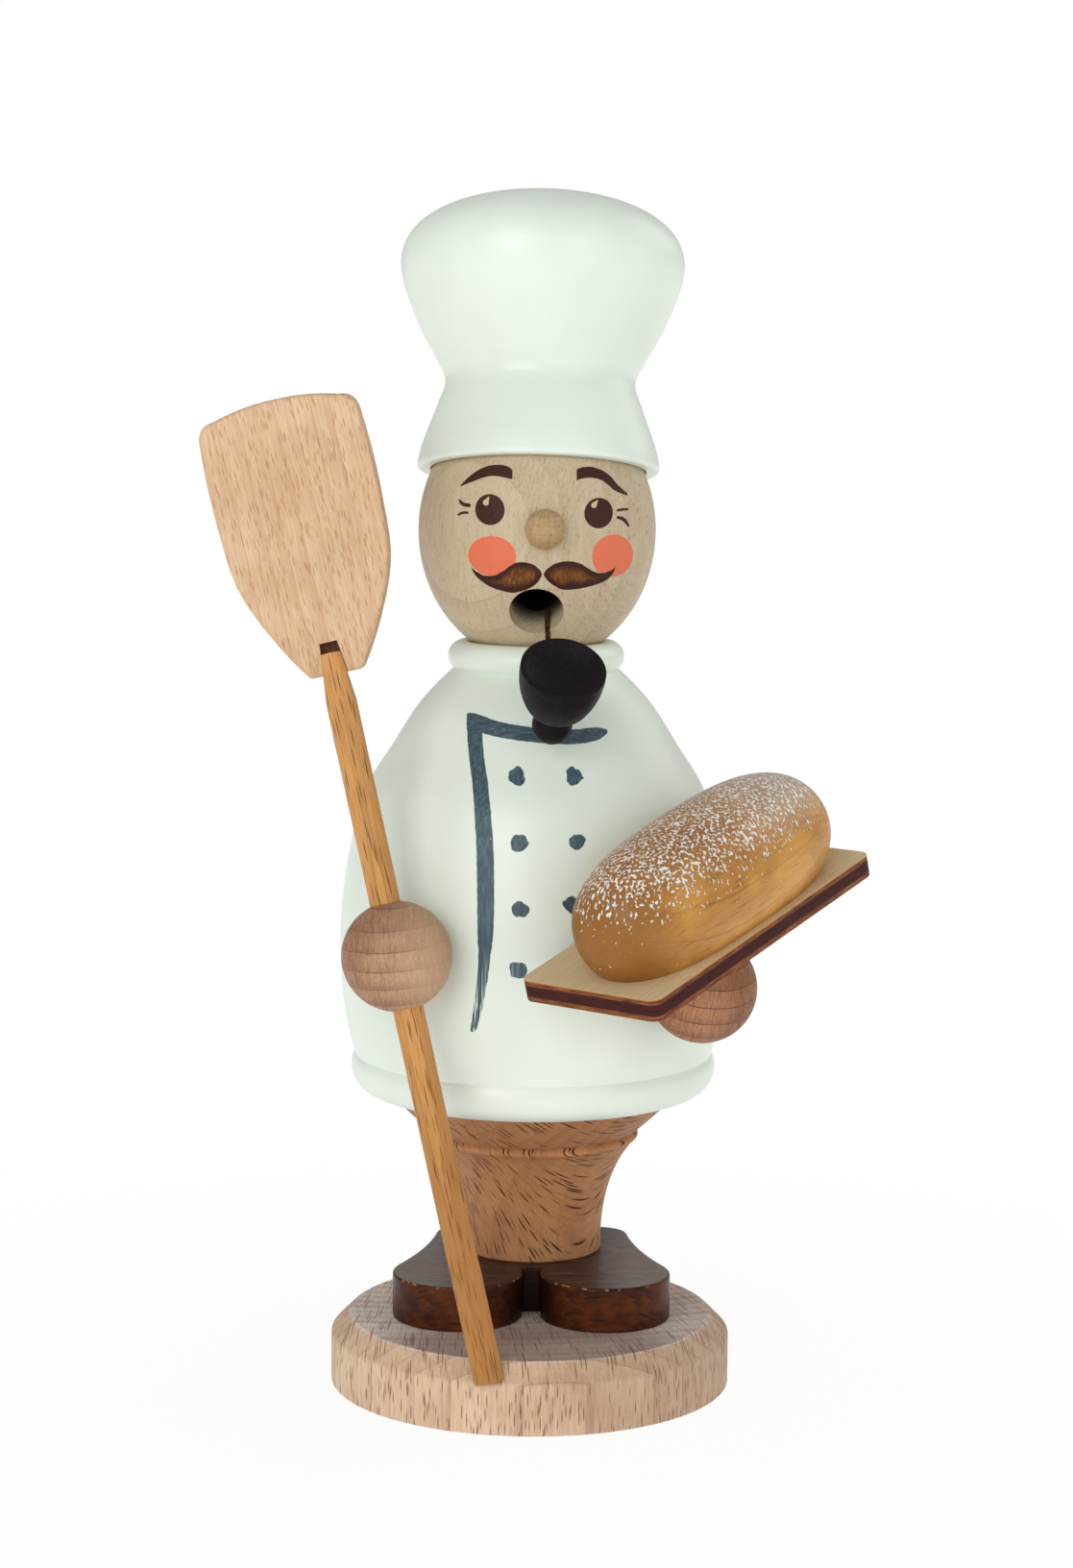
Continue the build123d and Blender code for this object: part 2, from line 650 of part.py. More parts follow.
PIECES = {
    "base_disc": base_blank() - leg_dowel(),
    "shoe_plate": shoe_plate() - leg_dowel(),
    "leg_dowel": leg_dowel(),
    "legs": legs(),
    "incense_dish": incense_dish(),
    "dish_pin": dish_pin(),
    "jacket": jacket(),
    "head": head(),
    "nose": nose(),
    "hat": hat(),
    "hat_dowel": hat_dowel(),
    "right_hand": right_hand(),
    "right_hand_peg": hand_peg("right"),
    "left_hand": left_hand(),
    "left_hand_peg": hand_peg("left"),
    "board_peg": board_peg(),
    "bread_board": bread_board(),
    "bread_loaf": bread_loaf(),
    "peel_handle": peel_handle(),
    "peel_blade": peel_blade(),
    "pipe_bowl": pipe_bowl(),
    "pipe_stem": pipe_stem(),
}

os.makedirs("parts", exist_ok=True)
for name, piece in PIECES.items():
    export_step(piece, f"parts/{name}.step")
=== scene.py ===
import math

import bpy
from mathutils import Matrix, Vector
from mathutils.geometry import interpolate_bezier


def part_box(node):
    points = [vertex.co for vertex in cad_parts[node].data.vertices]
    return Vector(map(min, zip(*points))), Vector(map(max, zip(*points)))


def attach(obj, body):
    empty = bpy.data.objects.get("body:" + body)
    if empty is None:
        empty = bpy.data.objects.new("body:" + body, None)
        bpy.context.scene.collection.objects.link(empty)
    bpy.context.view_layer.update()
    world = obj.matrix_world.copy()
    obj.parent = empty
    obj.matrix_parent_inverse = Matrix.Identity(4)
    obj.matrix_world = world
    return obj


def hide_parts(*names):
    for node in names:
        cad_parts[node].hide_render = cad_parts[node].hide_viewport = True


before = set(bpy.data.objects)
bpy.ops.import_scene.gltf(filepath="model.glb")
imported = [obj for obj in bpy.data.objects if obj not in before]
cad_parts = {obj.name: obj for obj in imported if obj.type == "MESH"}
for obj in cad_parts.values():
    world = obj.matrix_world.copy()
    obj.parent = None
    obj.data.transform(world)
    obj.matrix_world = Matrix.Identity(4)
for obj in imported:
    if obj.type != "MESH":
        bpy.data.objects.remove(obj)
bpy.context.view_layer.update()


# Base disc: a round of beech turned from upright-grained stock, so its growth rings show on top.
# The upper edge is chamfered, and a blind hole behind the middle takes the legs' dowel.
# All sizes in this file are in millimetres, and meshes are made in metres.
MM = 0.001
UP = Vector((0, 0, 1))
FIGURE = Vector((0.2, 13.6, 0))
CREASE = math.radians(32)
BASE_RADIUS, BASE_THICK, BASE_CHAMFER, BASE_EDGE = 33.7, 11.7, 3.15, 0.35
LEG_DOWEL_RADIUS, LEG_DOWEL_IN_BASE = 4.0, 8.0


def flow(*stations, steps=8):
    """Smooth run through the stations of an outline, as a turner's template follows its marks."""
    marks = [Vector((*station, 0)) for station in stations]
    chords = [end - start for start, end in zip(marks, marks[1:])]
    leans = []
    for before, after in zip(chords, chords[1:]):
        weight = before.length + after.length
        leans.append((before.normalized() * after.length + after.normalized() * before.length) / weight)
    leans.insert(0, 2 * chords[0].normalized() - leans[0])
    leans.append(2 * chords[-1].normalized() - leans[-1])
    points = [marks[0]]
    for index, chord in enumerate(chords):
        reach = chord.length / 3
        leave = marks[index] + leans[index] * reach
        arrive = marks[index + 1] - leans[index + 1] * reach
        points += interpolate_bezier(marks[index], leave, arrive, marks[index + 1], steps + 1)[1:]
    return [(point.x, point.y) for point in points]


def arc(centre, radius, start, end, steps=12):
    """Arc of an outline from one angle to another, in degrees from the radius upwards."""
    points = []
    for step in range(steps + 1):
        angle = math.radians(start + (end - start) * step / steps)
        points.append((centre[0] + radius * math.cos(angle), centre[1] + radius * math.sin(angle)))
    return points


def draw(name, points):
    """New mesh whose one vertex is pulled along the points, left in edit mode with all selected."""
    bpy.ops.object.select_all(action="DESELECT")
    bpy.ops.mesh.primitive_plane_add(size=MM)
    piece = bpy.context.object
    piece.name = piece.data.name = name
    bpy.ops.object.mode_set(mode="EDIT")
    bpy.ops.mesh.merge(type="CENTER")
    bpy.ops.transform.translate(value=points[0] * MM)
    for start, end in zip(points, points[1:]):
        bpy.ops.mesh.extrude_vertices_move(TRANSFORM_OT_translate={"value": (end - start) * MM})
    bpy.ops.mesh.select_all(action="SELECT")
    return piece


def close_up(piece):
    """Merge a mesh's doubles, turn its faces outwards and shade it, sharp only at its creases."""
    bpy.ops.mesh.select_all(action="SELECT")
    bpy.ops.mesh.remove_doubles(threshold=0.005 * MM)
    bpy.ops.mesh.normals_make_consistent(inside=False)
    bpy.ops.object.mode_set(mode="OBJECT")
    bpy.ops.object.shade_smooth_by_angle(angle=CREASE)
    return piece


def turned(name, outline, foot, way=UP, steps=144):
    """Spin an outline of (radius, height) stations about the line from a foot along a way."""
    out = way.orthogonal().normalized()
    piece = draw(name, [foot + out * radius + way * height for radius, height in outline])
    bpy.ops.mesh.spin(steps=steps, angle=math.tau, center=foot * MM, axis=way)
    return close_up(piece)


def settle(piece, modifier):
    """Apply a modifier and shade its piece again."""
    bpy.context.view_layer.objects.active = piece
    bpy.ops.object.modifier_apply(modifier=modifier.name)
    bpy.ops.object.select_all(action="DESELECT")
    piece.select_set(True)
    bpy.ops.object.shade_smooth_by_angle(angle=CREASE)


def soften(piece, width, segments=3):
    """Break the sharp edges of a piece, as sanding does."""
    bevel = piece.modifiers.new("broken_edges", "BEVEL")
    bevel.width = width * MM
    bevel.segments = segments
    bevel.limit_method = "ANGLE"
    bevel.angle_limit = CREASE
    settle(piece, bevel)


def cut(piece, tool, keep_tool=False):
    """Take a tool's solid away from a piece."""
    carve = piece.modifiers.new("carve", "BOOLEAN")
    carve.operation = "DIFFERENCE"
    carve.solver = "MANIFOLD"
    carve.object = tool
    settle(piece, carve)
    if not keep_tool:
        bpy.data.objects.remove(tool)


def saw(piece, place, off):
    """Cut a piece flat through a place and take away the side that a direction points to."""
    bpy.ops.object.select_all(action="DESELECT")
    bpy.context.view_layer.objects.active = piece
    piece.select_set(True)
    bpy.ops.object.mode_set(mode="EDIT")
    bpy.ops.mesh.select_all(action="SELECT")
    bpy.ops.mesh.bisect(plane_co=place * MM, plane_no=off, use_fill=True, clear_outer=True, threshold=0.001 * MM)
    return close_up(piece)


def drill(piece, start, end, radius, steps=64):
    """Drill a round hole between two points."""
    length = (end - start).length
    outline = [(0, 0), (radius, 0), (radius, length), (0, length)]
    cut(piece, turned("drill", outline, start, (end - start).normalized(), steps))


class Wire:
    """A socket among a finish's nodes. Arithmetic on wires adds Math nodes to the same finish."""

    def __init__(self, tree, socket):
        self.tree = tree
        self.socket = socket

    def node(self, kind, settings, sockets, out=0):
        """Add a node: its settings first, then the values or links of its sockets."""
        made = self.tree.nodes.new("ShaderNode" + kind)
        for name, value in settings.items():
            setattr(made, name, value)
        for name, value in sockets.items():
            if isinstance(value, Wire):
                self.tree.links.new(value.socket, made.inputs[name])
            else:
                made.inputs[name].default_value = value
        return Wire(self.tree, made.outputs[out])

    def other(self, name):
        """Another output of the node that this wire comes from."""
        return Wire(self.tree, self.socket.node.outputs[name])

    def math(self, operation, *values):
        return self.node("Math", {"operation": operation}, dict(enumerate(values)))

    def vector(self, operation, *values, out=0):
        return self.node("VectorMath", {"operation": operation}, dict(enumerate(values)), out)

    def minus(self, place):
        return self.vector("SUBTRACT", self, place)

    def times(self, scale):
        return self.vector("MULTIPLY", self, scale)

    def dot(self, way):
        return self.vector("DOT_PRODUCT", self, way, out=1)

    def length(self):
        return self.vector("LENGTH", self, out=1)

    def __add__(self, value):
        return self.math("ADD", self, value)

    def __sub__(self, value):
        return self.math("SUBTRACT", self, value)

    def __rsub__(self, value):
        return self.math("SUBTRACT", value, self)

    def __mul__(self, value):
        return self.math("MULTIPLY", self, value)

    def __truediv__(self, value):
        return self.math("DIVIDE", self, value)

    def __abs__(self):
        return self.math("ABSOLUTE", self)

    __radd__ = __add__
    __rmul__ = __mul__

    def least(self, value):
        return self.math("MINIMUM", self, value)

    def most(self, value):
        return self.math("MAXIMUM", self, value)

    def between(self, low, high):
        """Smooth step from 0 at the low value to 1 at the high one. Low may be the larger."""
        sockets = {"Value": self, "From Min": low, "From Max": high}
        return self.node("MapRange", {"interpolation_type": "SMOOTHSTEP"}, sockets)

    def parts(self):
        first = self.node("SeparateXYZ", {}, {0: self})
        return first, first.other("Y"), first.other("Z")

    def noise(self, x, y, z, detail=2.0):
        """Cloudy noise from 0 to 1, with this many clouds to a millimetre each way."""
        where = self.times((x, y, z))
        return where.node("TexNoise", {}, {"Vector": where, "Scale": 1.0, "Detail": detail})

    def cells(self, x, y, z):
        """Distance to the nearest of many scattered points, with this many to a millimetre each way."""
        where = self.times((x, y, z))
        return where.node("TexVoronoi", {}, {"Vector": where, "Scale": 1.0})

    def chance(self):
        """Random number of a cell."""
        return self.node("SeparateColor", {}, {0: self.other("Color")})

    def tint(self, under, over):
        """Lay one colour over another, as thick as this wire says."""
        return self.node("Mix", {"data_type": "RGBA"}, {0: self, 6: under, 7: over}, 2)

    def follow(self, marks):
        """Smooth curve through marks of (place, value), read at the place that this wire says."""
        first, last = marks[0][0], marks[-1][0]
        low = min(value for _, value in marks)
        span = max(value for _, value in marks) - low
        share = self.node("FloatCurve", {}, {"Value": (self - first) / (last - first)})
        mapping = share.socket.node.mapping
        points = mapping.curves[0].points
        points[0].location.y = (marks[0][1] - low) / span
        points[1].location.y = (marks[-1][1] - low) / span
        for place, value in marks[1:-1]:
            points.new((place - first) / (last - first), (value - low) / span)
        mapping.update()
        return share * span + low


def tone(red, green, blue):
    """Colour as a screen shows it, 0 to 255, in the linear light of shaders."""
    levels = [value / 255 for value in (red, green, blue)]
    return (*[level / 12.92 if level < 0.04 else ((level + 0.055) / 1.055) ** 2.4 for level in levels], 1)


def new_finish(name):
    """New material, and the place on its piece in millimetres."""
    material = bpy.data.materials.new(name)
    material.use_nodes = True
    place = Wire(material.node_tree, None).node("TexCoord", {}, {}, "Object")
    return material, place.node("VectorMath", {"operation": "SCALE"}, {0: place, "Scale": 1 / MM})


def dress(pieces, material, colour, rough, relief, depth, **constants):
    """Feed a finish's shader and put it on its pieces. Relief 1 stands a depth above relief 0."""
    shader = material.node_tree.nodes["Principled BSDF"]
    bump = relief.node("Bump", {}, {"Height": relief, "Strength": 1.0, "Distance": depth * MM})
    for name, wire in (("Base Color", colour), ("Roughness", rough), ("Normal", bump)):
        material.node_tree.links.new(wire.socket, shader.inputs[name])
    for name, value in constants.items():
        shader.inputs[name.replace("_", " ")].default_value = value
    for piece in pieces:
        if not piece.material_slots:
            piece.data.materials.append(material)
        piece.material_slots[0].material = material


def timber(spot, middle, pith, way, ring, fleck, share, sway=0.5):
    """Solid wood with its fibres along a way and its pith at this reach from a piece's middle.

    Gives its late wood, fibres, ray flecks and end grain. A fleck is thin, long along the fibres
    and deep along the radius, and a share of the cells has one.
    """
    way, pith = Vector(way).normalized(), Vector(pith)
    lay = UP.rotation_difference(way).to_matrix()
    inward = lay.inverted() @ -pith
    lay = lay @ Matrix.Rotation(math.atan2(inward.y, inward.x), 3, "Z")
    sockets = {"Vector": spot, "Location": middle + pith, "Rotation": lay.to_euler()}
    grain = spot.node("Mapping", {"vector_type": "TEXTURE"}, sockets)
    u, v, w = grain.parts()
    wander = (grain.noise(0.07, 0.07, 0.02) - 0.5) * (sway * ring)
    reach = u * u + v * v
    radius = reach.math("SQRT", reach) + wander
    year = radius / ring
    season = year.math("FRACT", year)
    strength = year.node("CombineXYZ", {}, {0: year.math("FLOOR", year) * 0.37}).noise(1, 1, 1, 0)
    late = season.between(0.3, 0.95) * strength.between(0.3, 0.6) * 0.55
    late = late.most(season.between(0.9, 0.96)) * season.between(1.0, 0.985)
    thin, high, deep = fleck
    polar = u.node("CombineXYZ", {}, {0: u.math("ARCTAN2", v, u) * pith.length, 1: w, 2: radius})
    fibre = grain.noise(3.2, 3.2, 0.16, 3) + polar.noise(2.6, 0.18, 0.35, 2) + strength * 0.6
    fibre = fibre.between(1.0, 1.6)
    spindle = polar.cells(0.6 / thin, 0.6 / high, 0.6 / deep)
    flecks = spindle.between(0.38, 0.2) * spindle.chance().between(1 - share, 1.02 - share)
    facing = spot.node("NewGeometry", {}, {}, "Normal")
    end = abs(facing.dot(way)).between(0.7, 0.97)
    return late, fibre, flecks, end


def bare_wood(name, pieces, tones, wood, rings=0.35, marks=0.8):
    """Sanded wood in its tones: light fibres, dark fibres, flecks and end grain.

    Rings and marks say how far its growth rings and its flecks show.
    """
    light, dark, fleck_tone, end_tone = [tone(*levels) for levels in tones]
    material, spot = new_finish(name)
    late, fibre, flecks, end = timber(spot, **wood)
    clouds = spot.noise(0.09, 0.09, 0.09).between(0.25, 0.75)
    grit = spot.noise(7, 7, 7, 2).between(0.35, 0.7)
    colour = (fibre * 0.45 + clouds * 0.35 + grit * 0.15).tint(light, dark)
    colour = (end * 0.75).tint(colour, (fibre * 0.45).tint(end_tone, dark))
    colour = (late * (end * 0.2 + rings)).tint(colour, fleck_tone)
    colour = (flecks * marks).tint(colour, fleck_tone)
    relief = 1 - fibre * 0.5 - flecks * 0.5
    dress(pieces, material, colour, 0.5 + fibre * 0.12 + flecks * 0.1, relief, 0.03, Specular_IOR_Level=0.2)
    return spot, colour


def lay_stain_and_painted_light(piece, colour, mask, over):
    """Lay a colour over a piece's finished colour where a mask says, for real stains and for painted light and shade.
    """
    tree = piece.active_material.node_tree
    tree.links.new(mask.tint(colour, over).socket, tree.nodes["Principled BSDF"].inputs["Base Color"])


base_side = [(0, 0), (BASE_RADIUS, 0), (BASE_RADIUS, BASE_THICK - BASE_CHAMFER)]
base_side += [(BASE_RADIUS - BASE_CHAMFER, BASE_THICK), (0, BASE_THICK)]
base = turned("base", base_side, Vector(), steps=192)
soften(base, BASE_EDGE)
dowel_foot = FIGURE + UP * (BASE_THICK - LEG_DOWEL_IN_BASE)
drill(base, dowel_foot, FIGURE + UP * (BASE_THICK + 1), LEG_DOWEL_RADIUS)
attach(base, "stand")
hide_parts("base_disc")
# The end grain tone is pale grey: partly the end grain's own colour, partly a painted sheen of the bright surroundings
# on the top face.
BASE_TONES = (230, 203, 172), (192, 152, 122), (116, 68, 47), (242, 240, 236)
BASE_WOOD = dict(middle=Vector(), pith=(-15, 117, 0), way=UP, ring=3.089, fleck=(0.17, 2.4, 7.0), share=0.8, sway=0.1)
spot, colour = bare_wood("base_beech", [base], BASE_TONES, BASE_WOOD, rings=0.3, marks=0.75)
# Painted shadow: the top in front of the shoes is darkened as if the figure shaded it.
painted_shadow_in_front = spot.times((0.6, 1, 0)).minus((2, -27, 0)).length().between(25, 11)
painted_shadow_in_front = painted_shadow_in_front * spot.node("NewGeometry", {}, {}, "Normal").parts()[2].between(0.9, 0.99)
# Painted shade: the right side of the base is darkened, as where the light from the left falls off.
heart_and_shaded_side = spot.parts()[0].between(-2, 16)
lay_stain_and_painted_light(base, colour, (painted_shadow_in_front * 0.64).most(heart_and_shaded_side * 0.27), tone(118, 90, 74))


# Shoes: both are sawn from one beech board, with round toes and a slot between them.
# The plate is stained dark brown and sits on the base, with the leg dowel through it.
SHOE_THICK, TOE_RADIUS, TOE_SPREAD, TOE_REACH, TOE_JOIN_ANGLE = 7.6, 11.0, 12.4, 17.0, 25.0
HEEL_HALF_WIDTH, HEEL_REACH, HEEL_CORNER, WAIST_HOLLOW = 16.8, 13.4, 5.0, 0.8
NOTCH_HALF_WIDTH, NOTCH_REACH, SHOE_EDGE = 1.55, 15.3, 0.4
SHOE_TOP = BASE_THICK + SHOE_THICK


def plate(name, half_outline, origin, across, along, thick):
    """Saw a board whose outline is the given half and its mirror image, thick towards its front."""
    other_half = [(-x, y) for x, y in reversed(half_outline) if x > 0.001]
    ring = [origin + across * x + along * y for x, y in half_outline + other_half]
    piece = draw(name, ring + ring[:1])
    bpy.ops.mesh.remove_doubles(threshold=0.001 * MM)
    bpy.ops.mesh.edge_face_add()
    bpy.ops.mesh.extrude_region_move(TRANSFORM_OT_translate={"value": across.cross(along) * thick * MM})
    return close_up(piece)


toe_end = 180 + math.degrees(math.acos((TOE_SPREAD - NOTCH_HALF_WIDTH) / TOE_RADIUS))
toe = arc((TOE_SPREAD, -TOE_REACH), TOE_RADIUS, TOE_JOIN_ANGLE, toe_end - 360, steps=40)
heel_corner = (HEEL_HALF_WIDTH - HEEL_CORNER, HEEL_REACH - HEEL_CORNER)
heel = arc(heel_corner, HEEL_CORNER, 90, 0, steps=10)
waist = ((heel[-1][0] + toe[0][0]) / 2 - WAIST_HOLLOW, (heel[-1][1] + toe[0][1]) / 2)
shoe_side = [(0, HEEL_REACH)] + heel + flow(heel[-1], waist, toe[0])[1:-1] + toe
notch = [(NOTCH_HALF_WIDTH, -NOTCH_REACH), (0, -NOTCH_REACH)]
sole = FIGURE + UP * BASE_THICK
shoes = plate("shoes", shoe_side + notch, sole, Vector((1, 0, 0)), Vector((0, 1, 0)), SHOE_THICK)
soften(shoes, SHOE_EDGE)
drill(shoes, dowel_foot, FIGURE + UP * (SHOE_TOP + 1), LEG_DOWEL_RADIUS)
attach(shoes, "stand")
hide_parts("shoe_plate")

SHOE_WOOD = dict(middle=sole, pith=(0, 30, -40), way=(1, 0, 0), ring=2.0, fleck=(0.3, 3.0, 2.0), share=0.5)
material, spot = new_finish("shoe_stain")
_, fibre, flecks, _ = timber(spot, **SHOE_WOOD)
facing = spot.node("NewGeometry", {}, {}, "Normal")
upward = facing.parts()[2]
top = upward.between(0.85, 0.98)
patches = spot.noise(0.5, 0.5, 0.8, 4).between(0.35, 0.7)
scratches = spot.noise(0.1, 2.8, 2.8, 2).between(0.55, 0.7)
aside = abs(spot.parts()[0] - FIGURE.x)
# Dark stain in the saw cut between the toes, with painted shade that darkens the toe walls towards it.
slot_stain_and_shade = aside.between(6.5, 2.0) * (FIGURE.y - spot.parts()[1]).between(8, 13)
glow = spot.noise(0.12, 0.12, 0.2, 2).between(0.35, 0.65)
colour = (patches * 0.5 + glow * 0.5).tint(tone(54, 21, 8), tone(104, 50, 17))
colour = (flecks * 0.5 + fibre * 0.25).most(slot_stain_and_shade * 0.9).tint(colour, tone(26, 13, 8))
# Painted reflection: the top is greyed as a sheen of the bright surroundings, more away from the legs; the scratches
# are real wear.
painted_sheen_and_scratches = aside.between(8, 19) * 0.55 + scratches * 0.35
colour = top.tint(colour, painted_sheen_and_scratches.tint(tone(60, 36, 29), tone(146, 139, 135)))
edge = upward.between(0.2, 0.5) * upward.between(0.93, 0.7)
worn = edge * spot.noise(0.9, 0.9, 0.9, 3).between(0.56, 0.64)
colour = (worn * 0.8).tint(colour, tone(168, 130, 96))
rough = 0.34 + patches * 0.1 + scratches * 0.1 + worn * 0.2
dress([shoes], material, colour, rough, 1 - fibre * 0.6 - flecks * 0.4, 0.04, Specular_IOR_Level=0.15)


# Legs: one turned piece of beech, with a bead, a groove and a flare below the jacket.
# Its spigot fits loosely into the jacket and carries the dish.
LEG_FLANK = [(12.0, 0.0), (12.3, 7.0), (13.45, 12.0), (15.4, 16.4), (17.5, 19.4)]
LEG_BEAD = [(17.5, 19.4), (18.2, 20.25), (17.7, 21.1)]
LEG_FLARE = [(18.4, 21.6), (20.3, 23.25), (25.0, 28.0)]
LEG_HEIGHT, LEG_DOWEL_IN_LEGS, LEG_FOOT_EDGE = 28.0, 12.0, 0.25
SPIGOT_RADIUS, SPIGOT_HEIGHT, SPIGOT_LEAD = 21.5, 10.0, 1.0
PIN_RADIUS, PIN_LENGTH, DISH_SHEET = 0.9, 9.0, 0.6
JACKET_BASE = SHOE_TOP + LEG_HEIGHT
SPIGOT_TOP = JACKET_BASE + SPIGOT_HEIGHT

spigot_top = LEG_HEIGHT + SPIGOT_HEIGHT
pin_foot = spigot_top + DISH_SHEET - PIN_LENGTH
leg_foot = LEG_FLANK[0][0]
legs = turned(
    "leg_turning",
    [(0, LEG_DOWEL_IN_LEGS), (LEG_DOWEL_RADIUS, LEG_DOWEL_IN_LEGS), (LEG_DOWEL_RADIUS, 0)]
    + [(leg_foot - LEG_FOOT_EDGE, 0), (leg_foot, LEG_FOOT_EDGE)]
    + flow(*LEG_FLANK)[1:]
    + flow(*LEG_BEAD)[1:]
    + flow(*LEG_FLARE)
    + [(SPIGOT_RADIUS, LEG_HEIGHT), (SPIGOT_RADIUS, spigot_top - SPIGOT_LEAD)]
    + [(SPIGOT_RADIUS - SPIGOT_LEAD, spigot_top), (PIN_RADIUS, spigot_top), (PIN_RADIUS, pin_foot)]
    + [(0, pin_foot)],
    FIGURE + UP * SHOE_TOP,
)
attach(legs, "stand")
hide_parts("legs")
LEG_TONES = (198, 144, 98), (158, 106, 69), (76, 34, 19), (172, 124, 86)
LEG_WOOD = dict(middle=FIGURE + UP * 35, pith=(76, 57, 0), way=(-0.2, 0.265, 0.944), ring=2.6)
LEG_WOOD.update(fleck=(0.2, 2.7, 4.5), share=0.9)
bare_wood("leg_beech", [legs], LEG_TONES, LEG_WOOD, rings=0.12, marks=0.95)


# Incense dish: a small cup pressed from brass sheet, held on the spigot by a round-headed brass nail.
# It is seen only when the figure is lifted off its legs.
DISH_RADIUS, DISH_FLOOR_RADIUS, DISH_DEPTH, DISH_EDGE = 15.0, 13.6, 2.6, 0.2
PIN_HEAD_RADIUS, PIN_HEAD_THICK = 2.4, 0.9

dish_ring = [
    (PIN_RADIUS, 0),
    (DISH_FLOOR_RADIUS, 0),
    (DISH_RADIUS, DISH_DEPTH),
    (DISH_RADIUS - DISH_SHEET, DISH_DEPTH),
    (DISH_FLOOR_RADIUS - DISH_SHEET, DISH_SHEET),
    (PIN_RADIUS, DISH_SHEET),
]
dish = turned("dish", dish_ring + dish_ring[:1], FIGURE + UP * SPIGOT_TOP)
soften(dish, DISH_EDGE)
pin_ball = (PIN_HEAD_RADIUS**2 + PIN_HEAD_THICK**2) / (2 * PIN_HEAD_THICK)
pin_edge = math.degrees(math.acos(PIN_HEAD_RADIUS / pin_ball))
pin = turned(
    "dish_nail",
    [(0, -PIN_LENGTH), (PIN_RADIUS, -PIN_LENGTH), (PIN_RADIUS, 0), (PIN_HEAD_RADIUS, 0)]
    + arc((0, PIN_HEAD_THICK - pin_ball), pin_ball, pin_edge, 90, steps=8)[1:],
    FIGURE + UP * (SPIGOT_TOP + DISH_SHEET),
    steps=48,
)
for brass_piece, node in ((dish, "incense_dish"), (pin, "dish_pin")):
    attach(brass_piece, "stand")
    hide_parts(node)

material, spot = new_finish("pressed_brass")
tarnish = spot.noise(0.25, 0.25, 0.25, 4).between(0.4, 0.7)
scratches = spot.noise(6, 0.4, 3, 3).between(0.45, 0.6)
colour = (tarnish * 0.7).tint(tone(222, 184, 104), tone(150, 108, 56))
dress([dish, pin], material, colour, 0.24 + tarnish * 0.2 + scratches * 0.08, scratches, 0.01, Metallic=1.0)


# Jacket: turned hollow from limewood, with a hem bead, a collar bead and a draught hole at the back.
# It is sprayed white outside, and the double-breasted front is brushed on in slate grey.
HEM = [(27.2, 0.0), (30.1, 1.35), (31.25, 4.4), (31.1, 5.6), (30.65, 6.6)]
JACKET_FLANK = [(30.65, 6.6), (32.6, 15.7), (33.2, 24.7), (31.5, 42.1), (28.9, 52.0), (24.3, 59.5), (19.5, 66.9)]
COLLAR_RADIUS, COLLAR_BEAD, COLLAR_HEIGHT, COLLAR_GROOVE = 14.95, 2.6, 74.8, 13.9
SEAT_RADIUS, FLUE_RADIUS = 11.0, 8.5
CHAMBER_RADIUS, CHAMBER_HEIGHT, CHAMBER_CONE = 21.8, 48.0, 9.0
DRAUGHT_RADIUS, DRAUGHT_HEIGHT, DRAUGHT_REACH = 3.4, 17.0, 60.0

collar_middle = (COLLAR_RADIUS - COLLAR_BEAD, COLLAR_HEIGHT)
collar_start = -math.degrees(math.acos((COLLAR_GROOVE - collar_middle[0]) / COLLAR_BEAD))
collar_end = math.degrees(math.acos((SEAT_RADIUS - collar_middle[0]) / COLLAR_BEAD))
collar = arc(collar_middle, COLLAR_BEAD, collar_start, collar_end, steps=24)
seat_height = collar[-1][1]
jacket_side = flow(*HEM) + flow(*JACKET_FLANK, collar[0])[1:] + collar[1:]
jacket_ring = jacket_side + [
    (FLUE_RADIUS, seat_height),
    (FLUE_RADIUS, CHAMBER_HEIGHT + CHAMBER_CONE),
    (CHAMBER_RADIUS, CHAMBER_HEIGHT),
    (CHAMBER_RADIUS, 0),
]
jacket_foot = FIGURE + UP * JACKET_BASE
jacket = turned("white_jacket", jacket_ring + jacket_ring[:1], jacket_foot, steps=192)
draught = jacket_foot + UP * DRAUGHT_HEIGHT
drill(jacket, draught, draught + Vector((0, DRAUGHT_REACH, 0)), DRAUGHT_RADIUS)
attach(jacket, "figure")
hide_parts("jacket")


def stroke(flat, marks):
    """Distance from a brush stroke through marks of (across, up, half width), below 0 inside it."""
    nearest = None
    for (x, z, half), (next_x, next_z, next_half) in zip(marks, marks[1:]):
        run = Vector((next_x - x, 0, next_z - z))
        reach = flat.minus((x, 0, z))
        share = reach.dot(run / run.length_squared)
        share = share.node("Clamp", {}, {0: share})
        along = share.node("VectorMath", {"operation": "SCALE"}, {0: run, "Scale": share})
        apart = reach.minus(along).length()
        apart = share.math("MULTIPLY_ADD", share, half - next_half, apart) - half
        nearest = apart if nearest is None else nearest.least(apart)
    return nearest


def dab(flat, x, z, wide, tall):
    """Distance from a round dab of the brush, below 0 inside it, in millimetres of its width."""
    return flat.minus((x, 0, z)).times((1, 1, wide / tall)).length() - wide


def sprayed_white(spot):
    """Satin white paint: its colour, roughness and relief, with turning marks that show through."""
    clouds = spot.noise(0.05, 0.05, 0.05, 2).between(0.3, 0.7)
    peel = spot.noise(1.6, 1.6, 1.6, 3)
    ridges = spot.noise(0.15, 0.15, 2.6, 2)
    colour = clouds.tint(tone(233, 243, 231), tone(227, 237, 225))
    return colour, 0.26 + peel * 0.1, peel * 0.5 + ridges * 0.6


